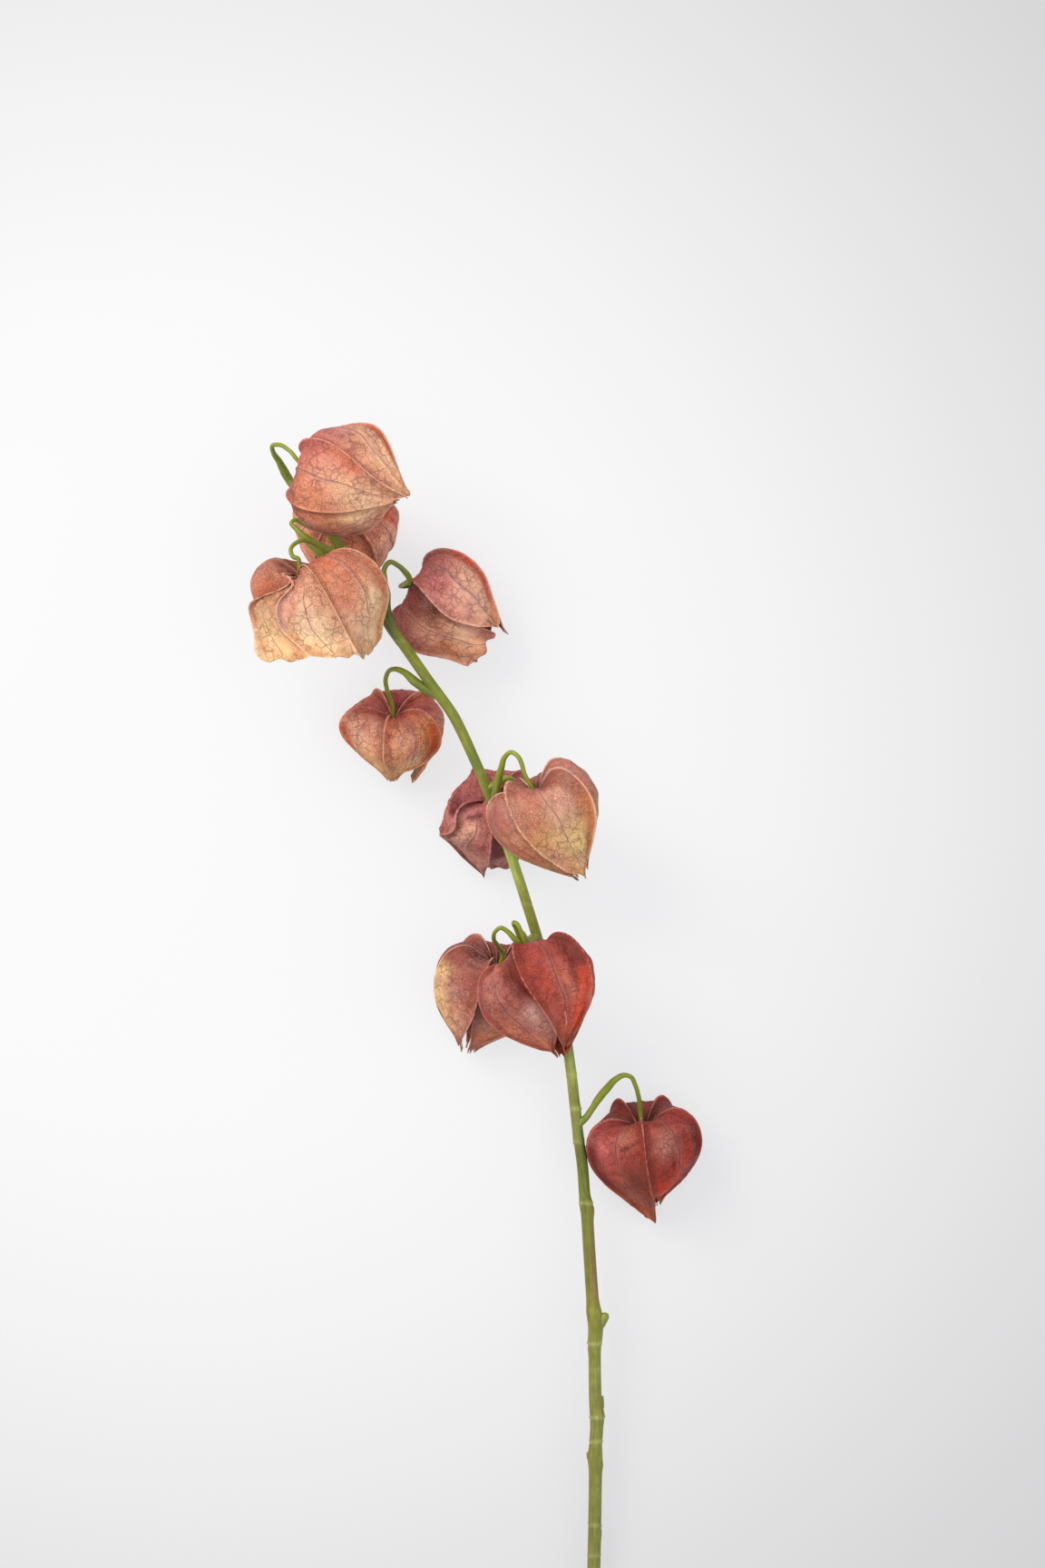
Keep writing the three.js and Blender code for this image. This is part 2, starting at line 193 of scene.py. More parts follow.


# at, radius and height in mm; heading, rise, twist and keels in degrees
# these are the solids' own values, except at and height in lanterns 1, 4 and 5, the radius in lantern 5,
# and one keel each in lanterns 1, 4, 6, 8, 9 and 10
# places on a husk: panel 0 to 4; across it -1 to 1, keel to keel; down it 0 at the stalk to 1 at the tips
# swings: keel, degrees that it is turned, where down it, over what length of down
# puffs: how much further each panel bulges, as a share of the radius
# shoulder and waist: shares by which each keel stands further out there; waistAt: where down the waist is
# tops and rises: how much higher each panel's and each keel's shoulder is, as a share of the height
# lines: how strongly each keel shows as a pale line
# flare: how much further out each keel ends, as a share of the radius
# laps: mm that the panel after each keel lies over the one before it, or under it where minus
# split: where down it the teeth part; notch: over what length they narrow there; ragged: how torn they are
# mouth: 0 is drawn shut and 1 a wide bell; flat: the share of its thickness along Z that the husk keeps
# tip and hollow: how far mouth and hollow lie off the axis, right and up, in shares of the radius
# teeth: by panel, how much longer its tooth is in shares of the height, how wide it is, how far it leans
# colours: from the hollow, over shoulder, middle and lower part, to the tips; the one at the hollow is
# darker, partly the husk's own colour and partly painted shade in the hollow
# patches: panel, across, down, size in mm, colour, strength; strokes: the same, from one place to another
# creases: panel, across, down, across, down, width in mm, depth in mm, where minus stands out
# rods: both ends in mm of a piece of stem that lies on the husk, and how far off its middle the husk stays
even, none = (1,) * 5, (0,) * 5     # for what a lantern doesn't give
lanterns = {
    "lantern_1": {
        "at": (-54.5, 271.6, 72), "radius": 25, "height": 47, "heading": -17, "rise": 22, "mouth": 0.05,
        "split": 0.965, "keels": (305, 352, 70, 150, 229), "shoulder": (1, 0.84, 0.92, 1, 1.05),
        "waist": (1, 1.32, 1.15, 1, 1), "waistAt": 0.78, "lines": (1, 1, 1, 1, 0.15),
        "swings": ((0, -20, 0.9, 0.25),), "laps": (-0.5, 0.2, 0.3, 0.3, 0),
        "teeth": {
            0: (0.05, 1.1, -0.35), 1: (0.03, 0.5, 0), 2: (-0.1, 0.6, 0), 3: (-0.12, 0.8, 0.2),
            4: (-0.02, 0.3, -0.1),
        },
        "colours": ("#7c4038", "#a25850", "#bb7460", "#cf987a", "#deb288"),
        "patches": (
            (4, 0.8, 0.45, 9, "#b05a58", 0.85), (4, 0.3, 0.3, 7, "#aa5850", 0.8),
            (0, 0.35, 0.62, 6, "#d2ae88", 0.5), (4, 0.8, 0.68, 6, "#c4664c", 0.8),
            (0, 0.6, 0.45, 9, "#b86a58", 0.7), (4, 0.1, 0.57, 8, "#d89a7e", 0.5),
            (4, -0.3, 0.7, 8, "#d8ae88", 0.8), (4, -0.7, 0.81, 6, "#e8c69a", 0.6),
            (4, -0.6, 0.52, 7, "#d98a60", 0.75), (3, 0.4, 0.6, 8, "#c27b50", 0.85),
            (3, 0.55, 0.76, 7, "#e4c896", 0.85), (3, 0.1, 0.6, 6, "#be7262", 0.7),
            (0, -0.35, 0.5, 9, "#ac6460", 0.8), (0, 0.4, 0.79, 7, "#e6ba94", 0.85),
            (0, 0.0, 0.93, 6, "#e5a873", 0.6),
        ),
        "strokes": (
            (0, 0.95, 0.6, 0.8, 0.86, 3.5, "#c95f40", 0.85), (1, -0.9, 0.6, -0.8, 0.85, 6, "#cb7a5e", 0.7),
        ),
        "creases": (
            (4, 0.1, 0.5, -0.05, 0.7, 2.0, 0.6), (0, 0.55, 0.4, 0.35, 0.85, 1.8, 1.0),
            (3, 0.9, 0.6, 0.4, 0.8, 1.5, 0.5), (4, 0.85, 0.82, 0.2, 0.93, 1.2, -0.6),
        ),
    },
    "lantern_2": {
        "at": (-57.5, 252, 21.6), "radius": 23.5, "height": 46, "heading": -88, "rise": -58, "mouth": 0.1,
        "split": 0.86, "keels": (304, 16, 88, 160, 232), "flat": 0.9, "hollow": (-0.2, 0.15),
        "laps": (0.9, 0.3, 0.3, 0.3, 0.4),
        # lantern 2's colours, patches and strokes are lighter than its husk's own: painted light that
        # offsets the shade lantern 1 casts on it
        "colours": ("#a45c52", "#d67c66", "#ea9e7a", "#eaa682", "#eeb28a"),
        "patches": (
            (4, 0.7, 0.5, 7, "#b8603a", 0.85), (0, -0.3, 0.5, 9, "#eab094", 0.8),
            (4, 0.0, 0.4, 8, "#e89a70", 0.7),
        ),
        "strokes": (
            (0, 0.5, 0.25, 0.45, 0.8, 5, "#d2523e", 0.9), (0, 0.2, 0.35, 0.15, 0.8, 2, "#f0cca8", 0.5),
        ),
        "creases": ((0, -0.2, 0.3, 0.0, 0.8, 2.0, 0.9), (4, 0.3, 0.3, 0.5, 0.8, 1.5, 0.7)),
    },
    "lantern_3": {
        "at": (-68.5, 222.5, 69.5), "radius": 29.5, "height": 41, "heading": -86, "rise": -10, "mouth": 1.3,
        "split": 0.92, "keels": (279, 352, 75, 172, 231), "flat": 0.7, "twist": 70, "hollow": (-0.22, 0),
        "swings": (
            (3, 78, 0.43, 0.13), (3, 75, 0.2, 0.13), (4, 35, 0.22, 0.14), (4, 22, 0.44, 0.1),
            (4, -10, 0.72, 0.12),
        ),
        "laps": (-0.3, -0.3, 0.3, 0.5, 0.2), "puffs": (0, 0, 0.2, 0, 0), "tops": (0.05, -0.06, 0.2, 0, 0),
        "rises": (-0.05, 0.06, -0.26, -0.14, -0.18), "shoulder": (1, 0.97, 1, 0.96, 1),
        "waist": (1, 1.08, 1, 1.02, 1), "flare": (0, 0.05, 0, 0.1, 0),
        "teeth": {0: (0.05, 0.45, -0.4), 1: (0.03, 0.4, 0), 3: (-0.02, 0.6, -0.35), 4: (-0.02, 0.55, 0.45)},
        "colours": ("#6a2c28", "#a85842", "#cf9678", "#deb890", "#e8c28c"),
        "patches": (
            (0, -0.1, 0.34, 9, "#b5503c", 0.85), (0, -0.35, 0.47, 9, "#c87858", 0.75),
            (0, -0.55, 0.62, 6, "#b9604a", 0.75), (0, 0.25, 0.62, 8, "#e2c398", 0.8),
            (0, 0.8, 0.52, 5, "#ba6440", 0.75), (4, 0.5, 0.47, 9, "#dea888", 0.8),
            (4, 0.0, 0.72, 9, "#e2c29c", 0.85), (4, -0.5, 0.6, 4, "#c4756a", 0.7),
            (3, 0.0, 0.55, 6, "#c08c58", 0.8), (3, 0.0, 0.75, 8, "#e8c488", 0.85),
            (3, 0.6, 0.85, 6, "#f1b278", 0.6), (3, -0.8, 0.62, 5, "#b8714c", 0.7),
            (2, 0.5, 0.35, 12, "#b2664e", 0.85), (2, 0.9, 0.5, 5, "#b44c2e", 0.85),
            # the second patch on the next line, dark at the top of panel 2, is painted shade toward the
            # hollow
            (2, 0.6, 0.32, 6, "#c2836c", 0.6), (2, 0.0, 0.2, 10, "#6a2a22", 0.85),
            (3, 0.9, 0.37, 5, "#b8765c", 0.7),
        ),
        "strokes": (
            (4, -0.85, 0.42, -0.95, 0.75, 2.2, "#ac7a80", 0.75),
            (0, 0.95, 0.65, 0.7, 0.95, 3, "#dd9c5c", 0.8),
        ),
        "creases": (
            (0, 0.2, 0.35, 0.15, 0.8, 1.6, 0.7), (2, 0.2, 0.2, 0.6, 0.5, 1.2, 0.8),
            (2, 0.5, 0.2, 0.8, 0.45, 1.2, 0.8),
        ),
    },
    "lantern_4": {
        "at": (-12.8, 220.4, 21), "radius": 25, "height": 42, "heading": -31, "rise": 5, "mouth": 0.6,
        "split": 0.86, "keels": (276, 336, 52, 124, 190), "waist": (1, 1.04, 0.98, 1.0, 0.98),
        "flare": (0, -0.32, -0.25, 0.1, 0.2), "swings": ((0, -16, 0.68, 0.22),), "ragged": 0.06,
        "rods": (
            ((-30, 234, 42), (-28.8, 231.5, 37.5), 1.9), ((-28.8, 231.5, 37.5), (-31.5, 230, 32), 1.9),
        ),
        "laps": (0.6, 0.2, 0.3, 0.3, -0.4),
        "teeth": {0: (0, 0.5, 0), 1: (0.1, 0.12, 0), 3: (-0.02, 0.7, 0.2), 4: (0.06, 0.85, 0.15)},
        "colours": ("#7c3f38", "#b8625a", "#cb8472", "#dda88a", "#dba27a"),
        "patches": (
            (0, 0.3, 0.36, 10, "#b75a58", 0.75), (0, -0.45, 0.5, 9, "#bb6470", 0.7),
            (0, 0.3, 0.68, 9, "#e2b092", 0.85), (0, -0.5, 0.72, 7, "#d09082", 0.7),
            (4, -0.4, 0.38, 8, "#a34a3a", 0.85), (4, 0.6, 0.5, 7, "#a05848", 0.8),
            (4, 0.4, 0.78, 6, "#ecbe9c", 0.85), (4, 0.0, 0.92, 7, "#e8b088", 0.85),
            (4, 0.6, 0.95, 5, "#a84c38", 0.8), (4, 0.5, 0.56, 6, "#c58a70", 0.7),
            (4, 0.0, 0.65, 7, "#cf9474", 0.7), (4, -0.6, 0.72, 6, "#cc7a54", 0.8),
            (3, 0.5, 0.9, 7, "#e6a27a", 0.8), (3, -0.3, 0.9, 7, "#d98a64", 0.7),
        ),
        "strokes": (
            (0, 0.92, 0.42, 0.85, 0.85, 3.5, "#c8553c", 0.9),
            # the first stroke on the next line is painted shadow on panel 4 where panel 0 lies over it
            (4, 0.8, 0.22, 0.9, 0.66, 6.5, "#64241e", 0.95), (4, 0.2, 0.3, 0.6, 0.5, 6, "#8c4038", 0.8),
            (0, 0.0, 0.5, 0.1, 0.85, 1.2, "#a8767c", 0.5),
        ),
        "creases": (
            (0, -0.6, 0.5, -0.3, 0.8, 1.6, 0.6), (4, 0.1, 0.4, 0.2, 0.7, 1.4, 0.6),
            (3, 0.0, 0.7, 0.0, 1.0, 2.5, -1.5),
        ),
    },
    "lantern_5": {
        "at": (-36.5, 165, 18), "radius": 23.8, "height": 30, "heading": -88, "rise": -30, "mouth": 0.3,
        "split": 0.79, "notch": 0.05, "keels": (260, 332, 42, 114, 188),
        "waist": (1.05, 1.06, 1.05, 1.05, 0.98), "shoulder": (1, 1, 1, 1, 1.06),
        "flare": (0.05, 0.05, 0, 0, 0.05), "laps": (0.5, -0.5, 0.3, 0.3, -0.2),
        "teeth": {
            0: (0.1, 0.2, -0.8), 1: (0.2, 0.5, -0.85), 2: (0.14, 0.2, 0), 3: (0.1, 0.1, 0),
            4: (0.16, 0.3, 0.7),
        },
        "colours": ("#8a3e46", "#c2604e", "#d38c66", "#dfa66e", "#ecc488"),
        "patches": (
            (1, -0.4, 0.3, 9, "#b85662", 0.9), (2, 0.0, 0.2, 10, "#b44a62", 0.9),
            (3, 0.0, 0.2, 9, "#b66464", 0.7), (0, -0.85, 0.4, 4, "#c4623f", 0.7),
            (0, -0.3, 0.47, 8, "#cf9478", 0.6), (4, 0.0, 0.43, 11, "#f0bea0", 0.9),
            (4, -0.2, 0.6, 6, "#e2a468", 0.7), (0, 0.1, 0.72, 6, "#ecc898", 0.85),
            (0, 0.55, 0.48, 6, "#e09a5c", 0.7), (4, 0.1, 0.37, 5, "#c2604c", 0.6),
        ),
        "strokes": (
            (0, 0.88, 0.38, 0.7, 0.8, 4.2, "#b84c18", 0.95),
            (4, -0.85, 0.42, -0.4, 0.8, 4.8, "#bc4a26", 0.95),
        ),
        "creases": (
            (0, 0.62, 0.32, 0.5, 0.66, 1.6, 1.4), (4, -0.45, 0.4, -0.35, 0.7, 1.5, 0.9),
            (2, 0.0, 0.12, 0.0, 0.35, 2.0, 1.2), (1, 0.0, 0.12, 0.1, 0.35, 2.0, 1.0),
            (3, 0.0, 0.12, 0.0, 0.35, 2.0, 1.0), (0, -0.82, 0.34, -0.7, 0.6, 1.3, 0.6),
        ),
    },
    "lantern_6": {
        "at": (7, 126, 18.2), "radius": 22.5, "height": 47, "heading": -95, "rise": -42, "mouth": 0.2,
        "split": 0.84, "keels": (274, 340, 50, 118, 190), "shoulder": (1, 1, 1, 1, 1.08),
        "waist": (1, 1, 1, 1, 1.1),
        "rods": (((15.5, 111.5, 39.5), (10.5, 125, 42), 2.9), ((10.5, 125, 42), (5.5, 139, 44), 2.9)),
        "swings": ((4, 42, 0.46, 0.17),), "lines": (0.5, 1, 1, 1, 0), "laps": (-0.8, 0.3, 0.3, 0.3, -0.9),
        "puffs": (0, 0, 0, -0.08, 0), "flare": (0, 0.25, 0, 0, 0), "tops": (0, 0, -0.05, -0.24, 0),
        "rises": (0, 0, -0.05, -0.15, -0.2), "teeth": {4: (0.11, 0.08, 0.6), 0: (-0.04, 1.0, 0.5)},
        "colours": ("#7c3a3c", "#ba6c66", "#c57a70", "#cc8872", "#cf8c7c"),
        "patches": (
            (4, 0.3, 0.43, 6, "#8c4444", 0.7), (4, -0.5, 0.35, 7, "#cf8a88", 0.85),
            (4, -0.35, 0.52, 8, "#f2b89c", 0.95), (4, 0.5, 0.6, 6, "#a65450", 0.6),
            (0, -0.3, 0.6, 12, "#6c2024", 0.92), (3, 0.6, 0.33, 9, "#dc948c", 0.9),
            (3, 0.0, 0.3, 8, "#a86068", 0.7), (3, 0.3, 0.62, 6, "#9a5644", 0.8),
            (4, -0.2, 0.8, 6, "#b0685c", 0.7),
        ),
        # this stroke is painted shade along a fold across panel 4
        "strokes": ((4, -0.7, 0.36, 0.4, 0.36, 2.5, "#6a3234", 0.8),),
        "creases": (
            (3, 0.9, 0.56, 1.0, 0.62, 4.0, -2.0), (4, -1.0, 0.56, -0.85, 0.63, 4.0, -3.0),
            (3, 0.2, 0.15, 0.4, 0.4, 1.5, 0.9), (3, 0.6, 0.15, 0.7, 0.4, 1.5, 0.9),
        ),
    },
    "lantern_7": {
        "at": (32.5, 127.5, 62), "radius": 25, "height": 50, "heading": -60, "rise": -6, "mouth": 0.05,
        "split": 0.88, "keels": (236, 320, 30, 100, 168), "waist": (1, 1.1, 1.05, 1, 1),
        "rises": (0, -0.1, -0.06, -0.08, -0.08), "shoulder": (1, 0.95, 0.97, 1, 1),
        "tops": (-0.08, 0.05, 0, 0, 0), "laps": (0.8, 0.4, 0.3, 0.3, 0.3),
        "teeth": {0: (0.03, 0.1, 0), 4: (0.03, 0.1, 0)},
        "colours": ("#7c3e40", "#9f5c54", "#ae6c58", "#c0905f", "#cf9660"),
        "patches": (
            (4, 0.3, 0.42, 10, "#a85c58", 0.85), (4, 0.2, 0.7, 8, "#b8624a", 0.85),
            (0, -0.4, 0.5, 8, "#bb7c62", 0.6), (0, 0.25, 0.41, 8, "#9c5a50", 0.85),
            (0, 0.2, 0.74, 10.5, "#dec284", 0.92), (0, 0.75, 0.5, 8, "#a05c4c", 0.8),
            (0, 0.1, 0.9, 7, "#dcb47c", 0.8), (0, -0.75, 0.78, 6, "#d8997c", 0.6),
            (0, 0.35, 0.52, 6, "#d3a28c", 0.6), (1, -0.7, 0.4, 9, "#c47c78", 0.8),
        ),
        "strokes": (
            (0, 0.93, 0.5, 0.9, 0.9, 2.5, "#c77a50", 0.85), (4, -0.3, 0.5, 0.0, 0.85, 3, "#bb5f48", 0.7),
        ),
        "creases": (
            (0, 0.5, 0.2, 0.75, 0.5, 1.8, 0.9), (4, 0.6, 0.4, 0.5, 0.8, 1.6, 0.8),
            (4, 0.85, 0.35, 0.8, 0.75, 0.9, 0.5), (0, -0.8, 0.3, -0.75, 0.6, 1.0, 0.5),
            (4, 0.2, 0.35, 0.25, 0.75, 1.2, 0.5),
        ),
    },
    "lantern_8": {
        "at": (3, 48, 16.4), "radius": 22.5, "height": 49, "heading": -105, "rise": -20, "mouth": 0.15,
        "split": 0.62, "keels": (268, 347, 59, 131, 203), "waist": (1, 1.15, 1.1, 1, 1),
        "shoulder": (1, 1, 1, 1, 1.07), "hollow": (0.2, 0), "laps": (-0.6, 0.2, 0.3, 0.3, 0.2),
        "teeth": {0: (0, 0.3, -0.4), 1: (0, 0.5, 0), 3: (0, 0.5, 0), 4: (0, 0.06, 0.2)},
        "colours": ("#4f2c2a", "#84443f", "#9c584c", "#b87a5c", "#c88c64"),
        "patches": (
            (4, -0.65, 0.4, 6, "#9c5448", 0.7), (4, -0.2, 0.3, 7, "#7c3a38", 0.8),
            (4, 0.2, 0.52, 9, "#a85e50", 0.75), (4, 0.2, 0.72, 8, "#dca282", 0.8),
            (0, -0.6, 0.6, 9, "#7c4a42", 0.9), (0, -0.7, 0.88, 7, "#cf6848", 0.9),
            (0, 0.2, 0.85, 8, "#c8623f", 0.85), (3, 0.3, 0.35, 8, "#7e4a48", 0.8),
            (4, -0.35, 0.85, 4, "#e0b088", 0.6),
        ),
        "strokes": (
            (4, -0.9, 0.4, -0.7, 0.85, 6.5, "#f0c890", 0.9), (4, -0.6, 0.27, 0.3, 0.3, 1.5, "#54302e", 0.8),
            (4, -0.2, 0.37, 0.8, 0.38, 0.8, "#5c3632", 0.8),
        ),
        "creases": (
            (4, -0.9, 0.24, 0.3, 0.26, 1.1, 1.0), (4, -0.5, 0.3, 0.6, 0.33, 1.0, 0.7),
            (4, 0.0, 0.37, 0.9, 0.38, 0.9, 0.7), (4, -0.25, 0.45, -0.1, 0.8, 1.5, 0.8),
        ),
    },
    "lantern_9": {
        "at": (29.5, 50, 57), "radius": 26, "height": 50, "heading": -72, "rise": 2, "mouth": 0.05,
        "split": 0.83, "keels": (251, 330, 39, 111, 186), "flat": 0.82, "waist": (1, 1, 1.12, 1, 1.12),
        "swings": ((0, 21, 0.85, 0.3),), "laps": (0.8, 0.5, 0.3, 0.3, 0.2), "tops": (0.04, 0, 0, 0, 0),
        "shoulder": (1, 1.02, 0.95, 1, 1), "rises": (0.02, 0, -0.05, 0, -0.1),
        "teeth": {
            0: (-0.03, 0.1, 0), 1: (-0.05, 0.9, 0), 2: (-0.02, 0.9, 0), 3: (-0.02, 0.7, 0), 4: (0, 0.1, 0),
        },
        "colours": ("#602620", "#8c3a30", "#9e463a", "#ac503a", "#b85c3c"),
        "patches": (
            (4, -0.2, 0.5, 10, "#c47c70", 0.9), (4, 0.3, 0.72, 9, "#b07060", 0.9),
            (4, -0.5, 0.75, 7, "#c77458", 0.75), (4, 0.35, 0.38, 5, "#c47c6a", 0.8),
            (4, 0.7, 0.68, 4, "#cdaaa2", 0.75), (4, 0.85, 0.76, 6, "#dca08c", 0.85),
            (0, -0.4, 0.5, 9, "#a83e2e", 0.75), (0, 0.25, 0.55, 6, "#bd6c58", 0.75),
            (0, 0.6, 0.36, 7, "#8a403a", 0.8), (0, -0.1, 0.34, 7, "#a34a44", 0.7),
            (0, -0.3, 0.72, 7, "#b84a38", 0.7), (4, -0.1, 0.9, 6, "#cf7c5c", 0.7),
        ),
        "strokes": (
            (0, 0.88, 0.5, 0.55, 0.9, 3.5, "#ea5a3a", 0.95),
            # the stroke on panel 4 on the next line is painted shade in the deep fold beside keel 0
            (0, 0.75, 0.42, 0.6, 0.62, 2.5, "#7e2a26", 0.7), (4, 0.5, 0.3, 0.8, 0.64, 4.5, "#74261f", 0.95),
            (0, -0.05, 0.7, 0.0, 0.8, 0.8, "#dc9a92", 0.7),
        ),
        "creases": (
            (4, 0.45, 0.3, 0.8, 0.66, 2.6, 2.6), (4, 0.1, 0.33, 0.4, 0.6, 2.2, -1.2),
            (0, 0.0, 0.3, 0.3, 0.7, 1.6, 0.9), (0, 0.1, 0.45, 0.9, 0.44, 0.9, 0.8),
            (0, 0.7, 0.3, 0.6, 0.7, 1.8, 0.9), (4, -0.2, 0.5, 0.1, 0.85, 1.4, 0.5),
        ),
    },
    "lantern_10": {
        "at": (76, -25, 17.4), "radius": 25.5, "height": 51, "heading": -84, "rise": -18, "mouth": 0,
        "split": 0.93, "keels": (270, 342, 47, 126, 198), "shoulder": (1, 1.08, 0.95, 0.9, 1.07),
        "waist": (1, 0.63, 0.8, 1, 0.88), "waistAt": 0.85, "tip": (0.1, 0), "rises": (0, 0, 0, 0, -0.06),
        "laps": (-0.4, -0.2, 0.3, 0.3, 1.0),
        "teeth": {
            0: (-0.15, 0.5, -0.5), 1: (-0.12, 0.3, -0.5), 2: (-0.06, 0.3, -0.3), 4: (0.04, 0.12, 0.5),
        },
        "colours": ("#4c2a28", "#943e36", "#96382c", "#923e28", "#b85c34"),
        "patches": (
            (4, -0.5, 0.48, 9, "#c0605a", 0.85), (4, 0.3, 0.4, 5, "#b87a60", 0.7),
            (4, 0.6, 0.6, 7, "#74382e", 0.85), (4, -0.2, 0.72, 8, "#a0503e", 0.7),
            (4, 0.4, 0.8, 6, "#8a4c3a", 0.7), (0, -0.5, 0.76, 8, "#d8402a", 0.9),
            (0, 0.25, 0.66, 6, "#dc4826", 0.9), (0, -0.15, 0.58, 6, "#841e16", 0.9),
            (0, -0.3, 0.45, 6, "#b47a6a", 0.8), (0, 0.7, 0.36, 7, "#a0403a", 0.7),
            (3, 0.4, 0.3, 8, "#704a4c", 0.85), (2, 0.5, 0.22, 8, "#704648", 0.85),
            (1, 0.3, 0.28, 8, "#7c4c4c", 0.8), (2, -0.6, 0.2, 7, "#96504e", 0.8),
        ),
        "strokes": (
            (0, -0.4, 0.75, 0.75, 0.5, 5, "#c43a24", 0.85), (0, 0.85, 0.36, 0.75, 0.72, 3, "#6a1812", 0.9),
            (4, -0.92, 0.42, -0.9, 0.75, 2.5, "#702622", 0.9), (4, -0.9, 0.9, 0.3, 0.97, 4, "#c4643c", 0.8),
            (4, 0.1, 0.47, 0.9, 0.42, 0.7, "#74332c", 0.8), (0, 0.05, 0.4, 0.2, 0.56, 0.8, "#6c3230", 0.7),
        ),
        "creases": (
            (4, 0.1, 0.48, 0.95, 0.42, 0.9, 0.9), (4, 0.35, 0.52, 0.95, 0.48, 0.9, 0.7),
            (4, -0.2, 0.4, 0.1, 0.8, 2.0, 0.9), (0, -0.9, 0.64, 0.2, 0.54, 1.2, 1.0),
            (0, 0.5, 0.36, 0.35, 0.8, 2.4, 1.4), (0, 0.0, 0.36, 0.1, 0.56, 1.0, 0.6),
        ),
    },
}

huskForm = {
    "keelRadius": (0, 0.1, 0.32, 0.6, 0.87, 1, 0.975, 0.81, 0.55, 0.3, 0.12),  # shares of the radius
    "keelHeight": (0.2, 0.165, 0.05, 0, 0.07, 0.235, 0.42, 0.6, 0.755, 0.885, 1),  # shares of the height
    "mouthPush": (0, 0, 0, 0, 0, 0, 0.02, 0.1, 0.26, 0.46, 0.6),
    "middle": 0.4,          # share of the height
    "bulge": (0.12, 0.06),  # how far a panel's middle stands out, and how much that differs
    "pinch": (0.035, 0.8, 0.12),    # how far a panel draws in beside a keel, where across, over what width
    "keelRise": (0.05, 0.3, 0.12),  # share of the height, where down, over what length
    "top": (0.3, 0.14),     # where down a panel's top is, and its length
    "rise": (0.28, 0.14),   # the same for a keel's
    "shoulder": 0.38,       # where down it is
    "waist": 0.72,          # where down it is in a lantern that gives no waistAt
    "belt": 0.2,            # length of down over which both act
    "dents": (0.03, 0.02),  # shares of the radius, round the husk
    "mouthFrom": 0.45,      # where down the mouth starts to count, and the hollow stops
    "flareFrom": 0.66,      # where down a flare starts
    "toothFrom": 0.7,       # where down a tooth starts to be longer or shorter
    "tuck": 0.12,           # how far a broad tooth lies under its neighbours
    "uneven": 0.05,         # share of the height by which the tips differ
    "flat": 0.85,           # in a lantern that gives none
    "panelHalf": 0.58,      # half a panel's width at its widest, as a share of the radius
    "meridian": 72,         # mm from the hollow to a tip, over the shoulder
    "paper": 0.3,           # mm thick
    "columns": 44,          # faces across a panel
    "rows": 96,             # and down it
    "weld": 0.002,          # mm
    "keelFold": (0.32, 0.2),    # mm that a keel stands out, and half its width
    "keelGroove": (0.3, 0.7),    # mm deep, and its width beside a keel
    "lap": (3.0, 0.25, 2.6),    # mm over which the upper panel rises, the step down, and the lower returns
    "midrib": (0.2, 0.5),   # mm that a panel's middle vein stands out, and half its width
    "besideMidrib": (0.3, 1.6, 1.0),    # mm deep, how far from the middle, and half its width
    "gathers": (0.4, 0.2),  # mm, of the wide and the narrow pleats round the hollow
    "crumple": 0.75,        # mm
    "lump": 10.0,           # mm across a dent of the paper, and across a wrinkle
    "wrinkle": 4.2,
    "cloud": 14.0,          # mm across a cloud of colour, and across a fleck
    "fleck": 4.5,
    "tooth": (0, 0.06, 0),  # as in teeth, for a panel that has none there
    "ragged": 0.035,        # share of the height by which the teeth are torn
}
# strength, mm from the keel and half the width in mm, where three are given
huskTone = {
    "stops": (0, 0.24, 0.5, 0.76, 1.0),     # where down each of a lantern's colours is
    "drift": (0.09, 0.04),      # how far clouds and flecks move them
    "uneven": (0.08, 0.07),     # how much clouds and flecks lighten and darken
    # the deeper tone beside a keel is partly the husk's own colour and partly painted shade along its edges
    "edge": (0.5, 1.4, 3.0),    # deeper tone beside a keel
    # groove: painted shade in the groove beside a keel; underLap: painted shadow on a panel where the next
    # one lies over it
    "groove": (0.14, 1.8, 1.4),
    "underLap": (0.4, 0.5, 1.8),
    # keelLine: the pale line, partly the fold's own paler colour and partly a painted highlight on its
    # ridge
    "keelLine": (0.6, 0.14),    # strength, and half its width in mm
}


def huskAxis(shape):
    heading, rise = math.radians(shape["heading"]), math.radians(shape["rise"])
    level = math.cos(rise)
    return np.array((math.cos(heading) * level, math.sin(heading) * level, math.sin(rise)))


